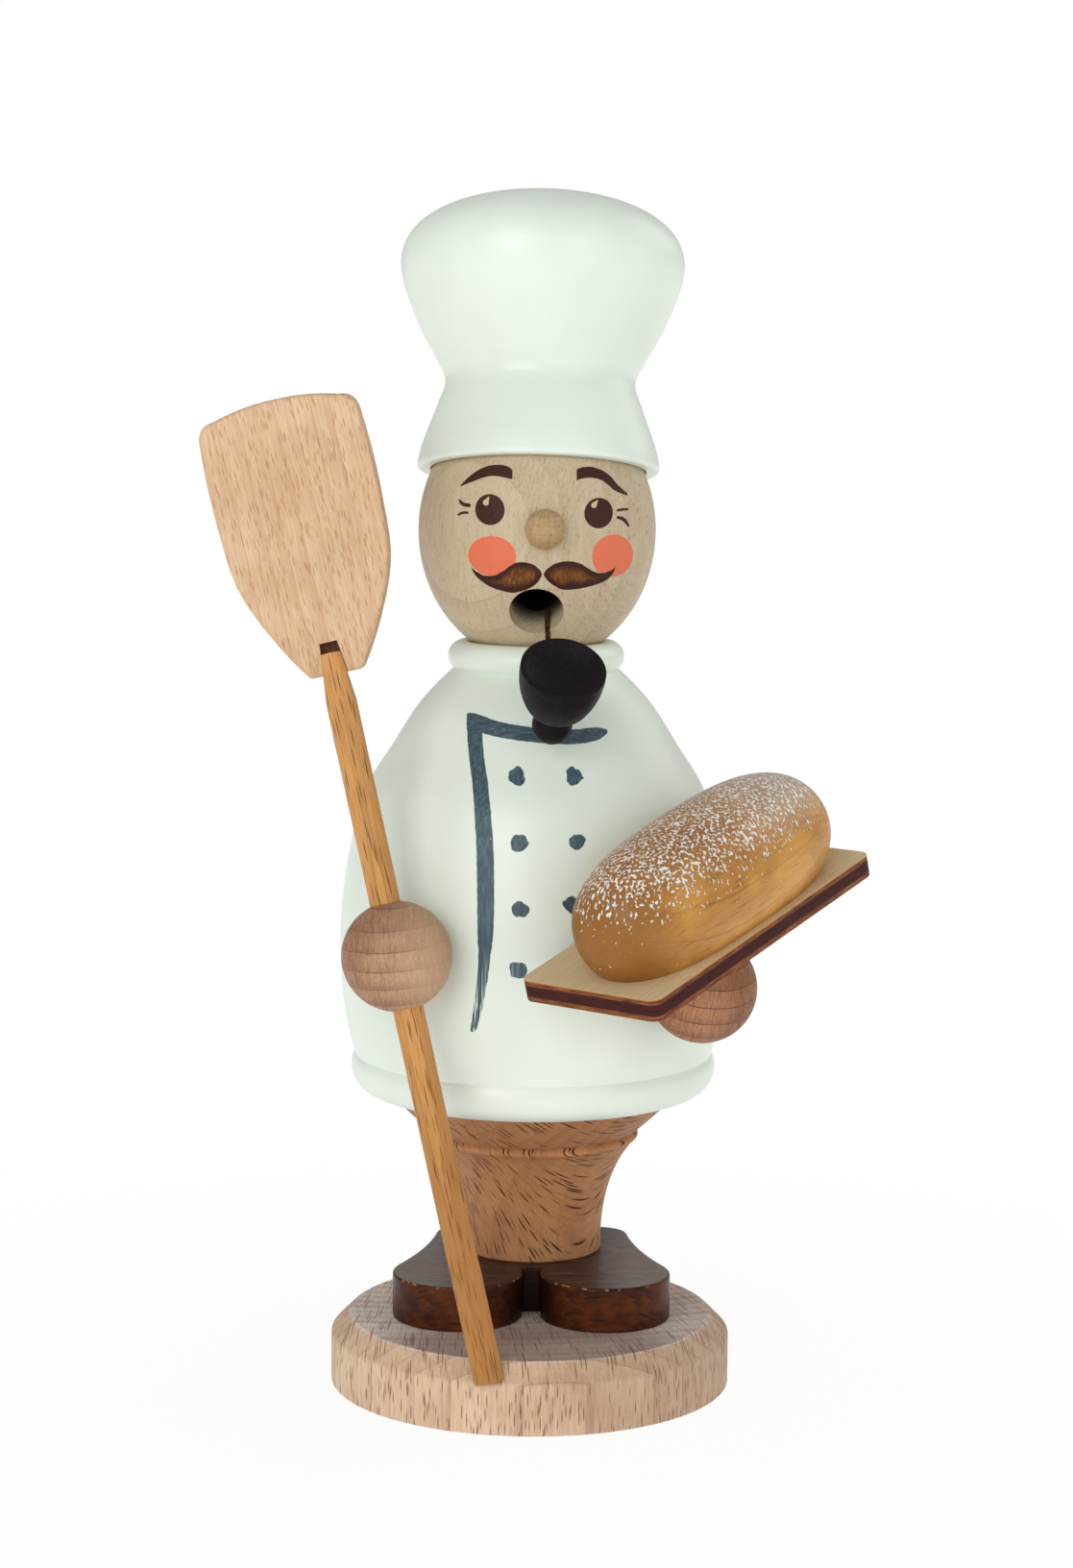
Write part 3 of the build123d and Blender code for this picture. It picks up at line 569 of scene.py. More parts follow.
SIDE_STROKE = [(63.2, -9.9), (64.2, -9.65), (69.9, -8.65), (75.7, -8.05), (81.3, -7.87), (86.7, -7.92)]
SIDE_STROKE += [(92.3, -8.05), (97.7, -8.4), (103.0, -8.95), (108.0, -9.75), (113.0, -10.2)]
SIDE_WIDTH = [(63.2, 0.3), (64.5, 0.55), (70.0, 0.8), (75.7, 0.98), (81.0, 1.33), (92.0, 1.4), (103.0, 1.3)]
SIDE_WIDTH += [(113.0, 1.25)]
TOP_STROKE = [(-11.4, 113.0), (-9.7, 112.6), (-5.45, 111.65), (0.1, 111.0), (5.8, 110.7), (9.1, 110.9), (11.9, 111.25)]
TOP_WIDTH = [(-11.4, 0.7), (-9.7, 1.3), (-5.45, 1.2), (0.1, 1.15), (5.8, 1.15), (9.1, 1.1), (11.0, 0.7), (11.9, 0.15)]
BUTTONS = [(-3.0, 104.8), (6.3, 104.65), (-2.4, 94.35), (6.8, 94.55)]
BUTTONS += [(-2.35, 83.65), (6.1, 84.5), (-2.6, 73.8), (6.2, 74.3)]
BUTTON_RADIUS = 1.4

material, spot = new_finish("jacket_paint")
white, rough, relief = sprayed_white(spot)
centred = spot.minus((FIGURE.x, FIGURE.y, 0))
x, y, z = centred.parts()
flat = centred.times((1, 0, 1))
side = abs(x - z.follow(SIDE_STROKE)) - z.follow(SIDE_WIDTH)
top = abs(z - x.follow(TOP_STROKE)) - x.follow(TOP_WIDTH)
side = side.most(SIDE_STROKE[0][0] - z).most(z - SIDE_STROKE[-1][0])
top = top.most(TOP_STROKE[0][0] - x).most(x - TOP_STROKE[-1][0])
buttons = dab(flat, *BUTTONS[0], BUTTON_RADIUS, BUTTON_RADIUS)
for button in BUTTONS[1:]:
    buttons = buttons.least(dab(flat, *button, BUTTON_RADIUS, BUTTON_RADIUS))
fray = spot.noise(0.9, 0.9, 0.9, 3) - 0.5
lumps = spot.noise(0.5, 0.5, 0.5, 2) - 0.5
slate = (side.least(top) + fray * 0.25).least(buttons + lumps * 1.8)
dry = z.between(78, 64) * spot.noise(3.4, 3.4, 0.1, 2).between(0.48, 0.6)
painted = slate.between(0.08, -0.08) * y.between(0, -1) * (1 - dry * 0.8)
downward = spot.noise(2.4, 2.4, 0.08, 3)
sideways = spot.noise(0.08, 2.4, 2.4, 3)
bristles = (downward + (sideways - downward) * z.between(109.3, 110)).between(0.35, 0.7)
slate_colour = bristles.tint(tone(46, 70, 80), tone(74, 100, 110))
slate_colour = (spot.noise(1.8, 1.8, 1.8, 2).between(0.7, 0.76) * 0.6).tint(slate_colour, tone(176, 190, 194))
colour = painted.tint(white, slate_colour)
bore = x * x + y * y
bore = bore.math("SQRT", bore)
rise = z - JACKET_BASE
chamber_top = CHAMBER_HEIGHT + CHAMBER_CONE
inside = bore.between(CHAMBER_RADIUS + 0.5, CHAMBER_RADIUS + 0.4) * rise.between(chamber_top + 0.6, chamber_top + 0.4)
inside = inside.most(bore.between(FLUE_RADIUS + 0.6, FLUE_RADIUS + 0.5)).most(rise.between(0.08, 0.03))
soot = spot.noise(0.2, 0.2, 0.08, 3) + rise.between(10, 60)
raw = soot.between(0.5, 1.4).tint(tone(206, 178, 142), tone(92, 66, 44))
colour = inside.tint(colour, raw)
dress([jacket], material, colour, rough + painted * 0.12 + inside * 0.3, relief + painted * 0.8, 0.035)


# Head: a turned egg of limewood on a flat foot, left bare, with a wide mouth drilled up into the flue.
# The face is painted and stained straight on to the wood. The nose is a small wooden ball on a peg.
HEAD_RADIUS, HEAD_HALF_HEIGHT, HEAD_FOOT_DROP = 20.06, 22.6, 19.0
FLUE_RISE, FACE_TURN = 1.5, 3.6
MOUTH_RADIUS, MOUTH_BELOW, MOUTH_DEPTH = 4.5, 12.6, 19.0
NOSE_RADIUS, NOSE_ABOVE, NOSE_STAND, NOSE_SINK = 3.3, 1.4, 0.6, 0.5
NOSE_PEG_RADIUS, NOSE_PEG_LENGTH = 1.5, 7.0
HAT_TILT, HAT_LEAN, HAT_RISE, HAT_SEAT = 11.0, 0.8, 10.0, 6.0

head_middle = FIGURE + UP * (JACKET_BASE + seat_height + HEAD_FOOT_DROP)
tilt, lean = math.radians(HAT_TILT), math.radians(HAT_LEAN)
hat_way = Vector((math.sin(lean), math.sin(tilt) * math.cos(lean), math.cos(tilt) * math.cos(lean)))
hat_foot = head_middle + hat_way * HAT_RISE
hat_seat = hat_foot + hat_way * HAT_SEAT


def egg(name, gap, foot_drop):
    """Turn the egg of the head, larger by a gap, flat at its foot and under the hat."""
    tall = HEAD_HALF_HEIGHT + gap
    wide = HEAD_RADIUS + gap
    start = -math.degrees(math.asin(foot_drop / tall))
    side = [(radius * wide, height * tall) for radius, height in arc((0, 0), 1, start, 90, steps=72)]
    return saw(turned(name, [(0, -foot_drop)] + side, head_middle, steps=160), hat_seat, hat_way)


def face_depth(above):
    """Distance of the bare face from the head's axis at a height over the head's middle."""
    return HEAD_RADIUS * math.sqrt(1 - (above / HEAD_HALF_HEIGHT) ** 2)


head = egg("head_egg", 0, HEAD_FOOT_DROP)
drill(head, FIGURE + UP * JACKET_BASE, head_middle + UP * FLUE_RISE, FLUE_RADIUS, steps=96)
mouth = head_middle + Vector((0, -face_depth(MOUTH_BELOW), -MOUTH_BELOW))
mouth_out = Vector((0, -face_depth(MOUTH_BELOW) / HEAD_RADIUS**2, -MOUTH_BELOW / HEAD_HALF_HEIGHT**2))
mouth_out.normalize()
drill(head, mouth + mouth_out * MOUTH_RADIUS, mouth - mouth_out * MOUTH_DEPTH, MOUTH_RADIUS, steps=96)
face_out = Vector((math.sin(math.radians(FACE_TURN)), -math.cos(math.radians(FACE_TURN)), 0))
nose_root = head_middle + UP * NOSE_ABOVE + face_out * face_depth(NOSE_ABOVE)
nose_back = math.degrees(math.asin((NOSE_STAND + NOSE_SINK) / NOSE_RADIUS))
nose_ball = arc((0, NOSE_STAND), NOSE_RADIUS, -nose_back, 90, steps=40)
nose = turned(
    "nose_ball",
    [(0, -NOSE_PEG_LENGTH), (NOSE_PEG_RADIUS, -NOSE_PEG_LENGTH), (NOSE_PEG_RADIUS, -NOSE_SINK)] + nose_ball,
    nose_root,
    face_out,
    steps=64,
)
drill(head, nose_root - face_out * NOSE_PEG_LENGTH, nose_root + face_out * 2, NOSE_PEG_RADIUS, steps=32)
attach(head, "figure")
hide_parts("head")
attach(nose, "figure")
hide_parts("nose")
NOSE_TONES = (188, 160, 118), (160, 126, 84), (122, 86, 54), (186, 158, 116)
NOSE_WOOD = dict(middle=nose_root, pith=(0, 0, 60), way=(0, 1, 0.1), ring=1.4, fleck=(0.14, 0.5, 0.6), share=0.45)
bare_wood("nose_wood", [nose], NOSE_TONES, NOSE_WOOD, rings=0.2)

RIGHT_BROW_TOP = [(-12.75, 8.1), (-10.6, 10.15), (-8.8, 11.2), (-7.0, 11.65), (-5.3, 11.55), (-4.1, 10.9)]
RIGHT_BROW_FOOT = [(-12.75, 7.95), (-10.2, 9.0), (-8.5, 9.65), (-7.0, 9.85), (-5.5, 9.65), (-4.1, 9.4)]
LEFT_BROW_TOP = [(6.4, 11.05), (8.2, 11.45), (9.95, 11.1), (11.7, 10.15), (13.2, 8.5), (14.9, 6.95)]
LEFT_BROW_FOOT = [(6.4, 9.25), (8.3, 9.65), (9.95, 9.45), (11.4, 8.6), (12.9, 7.4), (14.9, 6.6)]
RIGHT_WHISKER_TOP = [(-10.8, -5.1), (-9.55, -6.05), (-8.05, -6.5), (-5.7, -5.7), (-4.3, -4.7), (-2.8, -4.07)]
RIGHT_WHISKER_TOP += [(-1.35, -4.2), (0.1, -4.95), (0.85, -6.0)]
RIGHT_WHISKER_FOOT = [(-10.8, -5.3), (-10.1, -6.55), (-8.95, -7.55), (-7.5, -8.4), (-5.7, -8.95), (-4.0, -9.25)]
RIGHT_WHISKER_FOOT += [(-2.8, -9.05), (-1.05, -8.35), (0.1, -7.45), (0.85, -6.1)]
LEFT_WHISKER_TOP = [(1.15, -6.0), (2.15, -4.8), (3.6, -4.1), (5.05, -3.87), (6.8, -4.2), (8.3, -5.0), (9.5, -5.7)]
LEFT_WHISKER_TOP += [(10.65, -6.0), (11.85, -5.75), (13.0, -4.8)]
LEFT_WHISKER_FOOT = [(1.15, -6.15), (2.0, -7.3), (3.05, -8.05), (4.5, -8.65), (6.0, -8.65), (7.75, -8.4), (9.5, -8.0)]
LEFT_WHISKER_FOOT += [(11.3, -7.35), (12.4, -6.4), (13.0, -4.95)]
CREASES = [
    [(-12.82, 5.72, 0.16), (-12.55, 5.35, 0.26), (-12.1, 5.08, 0.31), (-11.23, 4.97, 0.3)],
    [(-13.0, 3.35, 0.15), (-12.55, 3.62, 0.2), (-12.1, 3.77, 0.22), (-11.5, 3.78, 0.2)],
    [(13.27, 4.27, 0.2), (14.1, 4.36, 0.22), (14.96, 4.38, 0.17)],
    [(13.28, 3.12, 0.22), (13.9, 2.97, 0.29), (14.45, 2.6, 0.3), (15.1, 1.7, 0.18)],
]
EYES = [(-7.75, 4.4, 2.44, 2.52), (10.1, 3.93, 2.38, 2.48)]
GLINTS = [[(-7.99, 6.45, 0.1), (-8.45, 5.55, 0.52)], [(9.9, 6.0, 0.1), (9.33, 5.24, 0.5)]]
CHEEKS = [(-7.35, -3.17, 3.96, 3.3), (12.5, -3.2, 3.45, 3.53)]


def painted_shape(x, z, top, foot):
    """Distance above or below a painted mark between its top and foot curves, below 0 inside it."""
    ends = (top[0][0] - x).most(x - top[-1][0])
    return (z - x.follow(top)).most(x.follow(foot) - z).most(ends)


HEAD_WOOD = dict(middle=head_middle, pith=(50, 60, 0), way=(0.04, 0, 1), ring=3.4, fleck=(0.2, 0.9, 1.2), share=0.35)
material, spot = new_finish("painted_face")
late, fibre, flecks, _ = timber(spot, **HEAD_WOOD)
centred = spot.minus(head_middle)
x, y, z = centred.parts()
flat = centred.times((1, 0, 1))
front = y.between(0, -1)
speckle = spot.noise(5.5, 5.5, 3.5, 3).between(0.35, 0.7)
wood = (fibre * 0.35 + speckle * 0.35 + late * 0.25).tint(tone(208, 192, 163), tone(174, 152, 119))
wood = (flecks * 0.35).tint(wood, tone(146, 118, 86))
stain = spot.noise(0.5, 0.5, 0.12, 2) - 0.5
blush = dab(flat, *CHEEKS[0]).least(dab(flat, *CHEEKS[1]))
blush = (blush + stain * 0.15).between(0.06, -0.06) * front
colour = (blush * 0.95).tint(wood, (speckle * 0.5).tint(tone(232, 117, 81), tone(216, 102, 71)))
ink = painted_shape(x, z, RIGHT_BROW_TOP, RIGHT_BROW_FOOT).least(painted_shape(x, z, LEFT_BROW_TOP, LEFT_BROW_FOOT))
for crease in CREASES:
    ink = ink.least(stroke(flat, crease))
for eye in EYES:
    ink = ink.least(dab(flat, *eye))
glint = stroke(flat, GLINTS[0]).least(stroke(flat, GLINTS[1]))
ink = ink.most(-0.02 - glint)
dark_ink = (speckle * 0.7).tint(tone(54, 27, 18), tone(78, 46, 34))
colour = ((ink + stain * 0.1).between(0.05, -0.05) * front).tint(colour, dark_ink)
whiskers = painted_shape(x, z, RIGHT_WHISKER_TOP, RIGHT_WHISKER_FOOT)
whiskers = whiskers.least(painted_shape(x, z, LEFT_WHISKER_TOP, LEFT_WHISKER_FOOT))
hairs = spot.noise(4.0, 4.0, 0.5, 3).between(0.35, 0.65)
heart_and_shaded_side = (whiskers + stain * 1.4).between(-0.5, -2.0)
whisker_colour = heart_and_shaded_side.tint(tone(56, 26, 13), hairs.tint(tone(136, 84, 34), tone(92, 52, 20)))
colour = ((whiskers + stain * 0.1).between(0.05, -0.05) * front).tint(colour, whisker_colour)
depth = (x * x + y * y) / HEAD_RADIUS**2 + z * z / HEAD_HALF_HEIGHT**2
sooty = depth.between(0.86, 0.45)
colour = (sooty * 0.95).tint(colour, tone(22, 15, 11))
rough = 0.44 + fibre * 0.1 + sooty * 0.3
dress([head], material, colour, rough, 1 - fibre * 0.4 - speckle * 0.4, 0.03, Specular_IOR_Level=0.2)


# Hat: a tall baker's hat turned from one piece with a waist and a domed crown, sprayed white.
# It is hollowed to sit over the top of the head, and a hidden dowel holds it, tilted back.
HAT_GAP, BRIM_UNDER_RADIUS, BRIM_LIP = 0.3, 19.8, (20.3, 0.2)
HAT_SIDE = [(20.5, 0.8), (20.05, 3.2), (18.75, 7.1), (17.25, 11.2), (16.1, 15.1), (17.7, 18.9), (19.95, 22.9)]
HAT_SIDE += [(22.25, 28.1), (23.6, 32.1), (24.1, 35.0)]
CROWN_DOME, CROWN_FULLNESS = 12.0, 2.25
HAT_DOWEL_RADIUS, HAT_DOWEL_IN_HEAD, HAT_DOWEL_IN_HAT = 4.0, 9.0, 12.0

crown_radius, crown_height = HAT_SIDE[-1]
dome = []
for radius, height in arc((0, 0), 1, 0, 90, steps=36)[1:]:
    rise = crown_height + CROWN_DOME * height ** (2 / CROWN_FULLNESS)
    dome.append((crown_radius * radius ** (2 / CROWN_FULLNESS), rise))
brim = flow((BRIM_UNDER_RADIUS, 0), BRIM_LIP, HAT_SIDE[0], steps=4)
hat_outline = [(0, 0)] + brim + flow(*HAT_SIDE)[1:] + dome
hat = turned("baker_hat", hat_outline, hat_foot, hat_way, steps=192)
cut(hat, egg("hollow", HAT_GAP, 0))
hat_dowel = (hat_seat - hat_way * HAT_DOWEL_IN_HEAD, hat_seat + hat_way * HAT_DOWEL_IN_HAT)
drill(head, *hat_dowel, HAT_DOWEL_RADIUS)
drill(hat, *hat_dowel, HAT_DOWEL_RADIUS)
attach(hat, "figure")
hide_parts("hat")

material, spot = new_finish("hat_paint")
colour, rough, relief = sprayed_white(spot)
dress([hat], material, colour, rough, relief, 0.035)


# Hands: turned beech balls, hollowed where they sit against the jacket and pegged to it.
# The right one is drilled for the peel's handle, and the left one is sanded flat under the board.
HAND_RADIUS, HAND_SINK, HAND_PEG_RADIUS, HAND_PEG_IN_JACKET, HAND_PEG_STOP = 9.0, 0.45, 2.5, 8.0, 3.6
FOOT_ANGLE, FOOT_INSET, FOOT_HEIGHT, FOOT_REACH, FOOT_GAP = 11.7, 0.8, 9.9, 1.2, 0.3
HANDLE_RADIUS, HANDLE_LENGTH, HANDLE_TIP_RADIUS, HANDLE_TAPER = 2.5, 119.3, 1.65, 8.0
BOARD_TURN, BOARD_SLOPE, BOARD_SEAT = 40.0, 16.5, 0.6

right_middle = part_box("right_hand")[0] / MM + Vector((1, 1, 1)) * HAND_RADIUS
left_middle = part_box("left_hand")[0] / MM + Vector((1, 1, 1)) * HAND_RADIUS
foot_turn = math.radians(FOOT_ANGLE)
foot_out = Vector((-math.sin(foot_turn), -math.cos(foot_turn), 0))
handle_foot = foot_out * (BASE_RADIUS - FOOT_INSET) + UP * FOOT_HEIGHT
handle_way = (right_middle - handle_foot).normalized()
turn, slope = math.radians(BOARD_TURN), math.radians(BOARD_SLOPE)
board_across = Vector((math.cos(turn), -math.sin(turn), 0))
board_along = Vector((math.sin(turn), math.cos(turn), 0)) * math.cos(slope) + UP * math.sin(slope)
board_up = board_across.cross(board_along)
board_seat = left_middle + board_up * (HAND_RADIUS - BOARD_SEAT)


def hand(name, middle, pole, bore):
    """Turn a ball, bored along its pole, fit it against the jacket and drill both for its peg."""
    reach = math.degrees(math.acos(bore / HAND_RADIUS))
    half_round = arc((0, 0), HAND_RADIUS, -reach, reach, steps=64)
    ball = turned(name, half_round + half_round[:1] if bore else half_round, middle, pole, steps=96)
    cut(ball, jacket, keep_tool=True)
    inward = (FIGURE + UP * middle.z - middle).normalized()
    stop = middle + inward * HAND_PEG_STOP
    end = middle + inward * (HAND_RADIUS - HAND_SINK + HAND_PEG_IN_JACKET)
    drill(ball, stop, end, HAND_PEG_RADIUS, steps=32)
    drill(jacket, stop, end, HAND_PEG_RADIUS, steps=32)
    return ball


right_hand = hand("right_hand_ball", right_middle, handle_way, HANDLE_RADIUS)
left_hand = hand("left_hand_ball", left_middle, board_up, 0)
saw(left_hand, board_seat, board_up)
for ball, node in ((right_hand, "right_hand"), (left_hand, "left_hand")):
    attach(ball, "figure")
    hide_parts(node)
RIGHT_HAND_TONES = (190, 150, 118), (132, 91, 68), (112, 59, 42), (198, 158, 124)
LEFT_HAND_TONES = (190, 140, 104), (124, 74, 51), (88, 44, 29), (196, 144, 108)
RIGHT_HAND_WOOD = dict(middle=right_middle, pith=(-10, 0, 110), way=(0.05, 1, 0), ring=3.1, share=0.7)
LEFT_HAND_WOOD = dict(middle=left_middle, pith=(5, 0, 38), way=(0, 1, 0.1), ring=3.0, share=0.6)
for wood in (RIGHT_HAND_WOOD, LEFT_HAND_WOOD):
    wood.update(fleck=(0.12, 3.0, 1.8), sway=0.4)
spot, colour = bare_wood("right_hand_beech", [right_hand], RIGHT_HAND_TONES, RIGHT_HAND_WOOD, rings=0.55, marks=0.4)
# The right side of the ball is lighter: partly paler end grain, partly painted light standing for light bounced off
# the white jacket.
sapwood_and_painted_light = (spot.parts()[0] - right_middle.x).between(-3, 8)
lay_stain_and_painted_light(right_hand, colour, sapwood_and_painted_light * 0.5, tone(222, 190, 156))
spot, colour = bare_wood("left_hand_beech", [left_hand], LEFT_HAND_TONES, LEFT_HAND_WOOD, rings=0.6, marks=0.4)
# Painted shade: the ball's right side, under the board, is darkened.
painted_shade_on_right = (spot.parts()[0] - left_middle.x).between(-1, 8)
lay_stain_and_painted_light(left_hand, colour, painted_shade_on_right * 0.4, tone(96, 58, 40))


# Peel: an oak-coloured dowel with a tapered tip, pushed through the right hand down to the base.
# Its blade is sawn from pale beech board, sanded round at the edges, with a pocket for the tip.
BLADE_THICK, BLADE_EDGE = 3.0, 0.55
BLADE_FLANK = [(4.4, 0.0), (9.3, 8.0), (12.85, 16.6), (13.75, 26.0), (13.55, 40.5)]
BLADE_CORNER = [(13.55, 40.5), (12.6, 43.2), (10.4, 44.0)]
BLADE_TOP = [(10.4, 44.0), (5.4, 45.05), (0, 45.4)]
BLADE_YAW, BLADE_LEAN, BLADE_SWING, BLADE_OVERLAP, BLADE_POCKET = 10.0, 2.0, 1.2, 3.5, 1.8

shaft = HANDLE_LENGTH - HANDLE_TAPER
handle = turned(
    "peel_shaft",
    [(0, -FOOT_REACH), (HANDLE_RADIUS, -FOOT_REACH), (HANDLE_RADIUS, shaft)]
    + [(HANDLE_TIP_RADIUS, HANDLE_LENGTH), (0, HANDLE_LENGTH)],
    handle_foot,
    handle_way,
    steps=64,
)
base_clear = [(0, 0), (BASE_RADIUS + FOOT_GAP, 0)]
base_clear += [(BASE_RADIUS + FOOT_GAP, BASE_THICK + FOOT_GAP - BASE_CHAMFER)]
base_clear += [(BASE_RADIUS + FOOT_GAP - BASE_CHAMFER, BASE_THICK + FOOT_GAP), (0, BASE_THICK + FOOT_GAP)]
cut(handle, turned("foot_trim", base_clear, Vector(), steps=192))
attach(handle, "figure")
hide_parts("peel_handle")
HANDLE_TONES = (222, 167, 102), (190, 131, 70), (96, 55, 26), (190, 130, 70)
HANDLE_WOOD = dict(middle=handle_foot + handle_way * 60, pith=(0, 80, 0), way=handle_way, ring=2.4)
HANDLE_WOOD.update(fleck=(0.16, 3.8, 2.0), share=0.6)
spot, colour = bare_wood("handle_wood", [handle], HANDLE_TONES, HANDLE_WOOD, rings=0.25, marks=0.9)
# Painted shade: the handle is darkened towards its lower end.
lay_stain_and_painted_light(handle, colour, spot.parts()[2].between(70, 30) * 0.45, tone(144, 88, 28))

yaw, lean = math.radians(BLADE_YAW), math.radians(BLADE_LEAN)
blade_front = Vector((-math.sin(yaw) * math.cos(lean), -math.cos(yaw) * math.cos(lean), -math.sin(lean)))
level = (handle_way - blade_front * handle_way.dot(blade_front)).normalized()
swing = math.radians(BLADE_SWING)
blade_up = level * math.cos(swing) + level.cross(blade_front) * math.sin(swing)
blade_across = blade_up.cross(blade_front)
blade_foot = handle_foot + handle_way * HANDLE_LENGTH - blade_up * BLADE_OVERLAP
blade_side = [(0, 0)] + flow(*BLADE_FLANK) + flow(*BLADE_CORNER)[1:] + flow(*BLADE_TOP)[1:]
blade_back = blade_foot - blade_front * BLADE_THICK
blade = plate("peel_blade_board", blade_side, blade_back, blade_across, blade_up, BLADE_THICK)
soften(blade, BLADE_EDGE)
taper = (HANDLE_RADIUS - HANDLE_TIP_RADIUS) / HANDLE_TAPER
pocket_end = HANDLE_LENGTH + BLADE_POCKET
pocket = [(0, shaft), (HANDLE_RADIUS, shaft), (HANDLE_TIP_RADIUS - taper * BLADE_POCKET, pocket_end), (0, pocket_end)]
cut(blade, turned("pocket", pocket, handle_foot, handle_way, steps=64))
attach(blade, "figure")
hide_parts("peel_blade")
BLADE_TONES = (228, 199, 161), (200, 156, 122), (172, 112, 80), (218, 178, 140)
BLADE_WOOD = dict(middle=blade_foot + blade_up * 22, pith=(-40, 110, 0), way=blade_up, ring=1.6)
BLADE_WOOD.update(fleck=(0.13, 1.7, 0.6), share=0.6)
spot, colour = bare_wood("blade_beech", [blade], BLADE_TONES, BLADE_WOOD, rings=0.3, marks=0.75)
reach = spot.minus(handle_foot)
along = reach.dot(handle_way)
reach = reach.vector("CROSS_PRODUCT", reach, handle_way)
gap = reach.length() - (HANDLE_RADIUS - (along - shaft) * taper)
glue = gap.between(0.14, 0.04) * along.between(pocket_end + 0.1, pocket_end)
lay_stain_and_painted_light(blade, colour, glue * 0.9, tone(92, 38, 32))


# Bread board: birch plywood cut by laser, so its edges are burnt dark. It is pegged to the left hand,
# and its inner long side is hollowed to clear the jacket. The loaf is a turned roll cut flat below.
BOARD_WIDTH, BOARD_LENGTH, BOARD_THICK, BOARD_CORNER, BOARD_SHIFT, BOARD_GAP = 27.8, 59.8, 3.7, 2.0, 2.3, 0.4
BOARD_PEG_RADIUS, BOARD_PEG_START, BOARD_PEG_IN_BOARD, BOARD_EDGE = 2.0, 3.2, 2.4, 0.12
LOAF_RADIUS, LOAF_HALF_LENGTH, LOAF_SQUARENESS, LOAF_AXIS_HEIGHT, LOAF_SHIFT = 12.1, 27.8, 2.9, 6.9, 2.5

half_width, half_length = BOARD_WIDTH / 2, BOARD_LENGTH / 2
low_corner = arc((half_width - BOARD_CORNER, BOARD_CORNER - half_length), BOARD_CORNER, -90, 0, steps=6)
high_corner = arc((half_width - BOARD_CORNER, half_length - BOARD_CORNER), BOARD_CORNER, 0, 90, steps=6)
board_side = [(0, -half_length)] + low_corner + high_corner + [(0, half_length)]
board_middle = board_seat + board_along * BOARD_SHIFT
board = plate("board", board_side, board_middle, board_across, board_along, BOARD_THICK)
soften(board, BOARD_EDGE, segments=2)
clear_side = [(0, 0)] + [(radius + BOARD_GAP, height) for radius, height in jacket_side] + [(0, seat_height)]
cut(board, turned("jacket_clear", clear_side, jacket_foot, steps=192))
board_peg = (left_middle + board_up * BOARD_PEG_START, board_seat + board_up * BOARD_PEG_IN_BOARD)
drill(left_hand, *board_peg, BOARD_PEG_RADIUS, steps=32)
drill(board, *board_peg, BOARD_PEG_RADIUS, steps=32)
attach(board, "figure")
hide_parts("bread_board")

material, spot = new_finish("burnt_plywood")
sheet = spot.minus(board_middle)
rise = sheet.dot(board_up)
facing = spot.node("NewGeometry", {}, {}, "Normal")
flatness = abs(facing.dot(board_up)).between(0.5, 0.9)
length_grain = spot.node("CombineXYZ", {}, {0: sheet.dot(board_across), 1: sheet.dot(board_along), 2: rise})
fibre = length_grain.noise(3.0, 0.12, 3.0, 3).between(0.3, 0.7)
veneer = fibre.tint(tone(218, 196, 154), tone(206, 181, 138))
streak = length_grain.noise(0.3, 0.3, 2.5, 3).between(0.3, 0.7)
layer = abs(rise - BOARD_THICK / 2)
outer = streak.tint(tone(150, 88, 48), tone(92, 44, 26))
middle_ply = streak.tint(tone(72, 22, 15), tone(48, 13, 10))
burnt = (layer + streak * 0.3).between(1.08, 0.84).tint(outer, middle_ply)
burnt = (abs(layer - 0.85).between(0.16, 0.04) * 0.8).tint(burnt, tone(34, 12, 10))
burnt = (rise.between(3.4, 3.6) * 0.7).tint(burnt, tone(198, 148, 90))
colour = flatness.tint(burnt, veneer)
dress([board], material, colour, 0.55 + fibre * 0.1, 1 - fibre * 0.5 - streak * 0.3, 0.04, Specular_IOR_Level=0.2)

crust = []
for share, _ in arc((0, 0), 1, -180, 0, steps=72):
    round_share = max(0.0, 1 - abs(share) ** LOAF_SQUARENESS) ** (1 / LOAF_SQUARENESS)
    crust.append((LOAF_RADIUS * round_share, LOAF_HALF_LENGTH * share))
board_top = board_middle + board_up * BOARD_THICK
loaf_middle = board_top + board_across * LOAF_SHIFT + board_up * LOAF_AXIS_HEIGHT
loaf = saw(turned("loaf", crust, loaf_middle, board_along, steps=160), board_top, -board_up)
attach(loaf, "figure")
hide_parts("bread_loaf")

LOAF_WOOD = dict(middle=loaf_middle, pith=board_across * 5 - board_up * 5, way=board_along, ring=3.2)
LOAF_WOOD.update(fleck=(0.25, 2.5, 1.5), share=0.35)
material, spot = new_finish("floured_crust")
late, fibre, flecks, _ = timber(spot, **LOAF_WOOD)
height = spot.minus(board_top).dot(board_up)
patches = spot.noise(0.1, 0.1, 0.1, 2).between(0.35, 0.65)
endward = spot.minus(loaf_middle).dot(board_along)
tan = (fibre * 0.3 + patches * 0.5 + late * 0.3).tint(tone(214, 158, 78), tone(164, 108, 44))
tan = (flecks * 0.4).tint(tan, tone(118, 72, 34))
tan = (height.between(9, 19) * 0.55).most(endward.between(-16, -27) * 0.85).tint(tan, tone(136, 84, 28))
thick = height.between(6, 16)
clumps = spot.noise(2.1, 2.1, 1.2, 2)
flour = (clumps + thick * 0.19).between(0.71, 0.76)
frost = height.between(10, 17) * (endward.between(-5, 22) * 0.3 + 0.02)
colour = (flour * 0.95).most(frost).tint(tan, tone(244, 242, 235))
dress([loaf], material, colour, 0.34 + fibre * 0.1 + flour * 0.4, flour - fibre * 0.15, 0.09, Specular_IOR_Level=0.3)


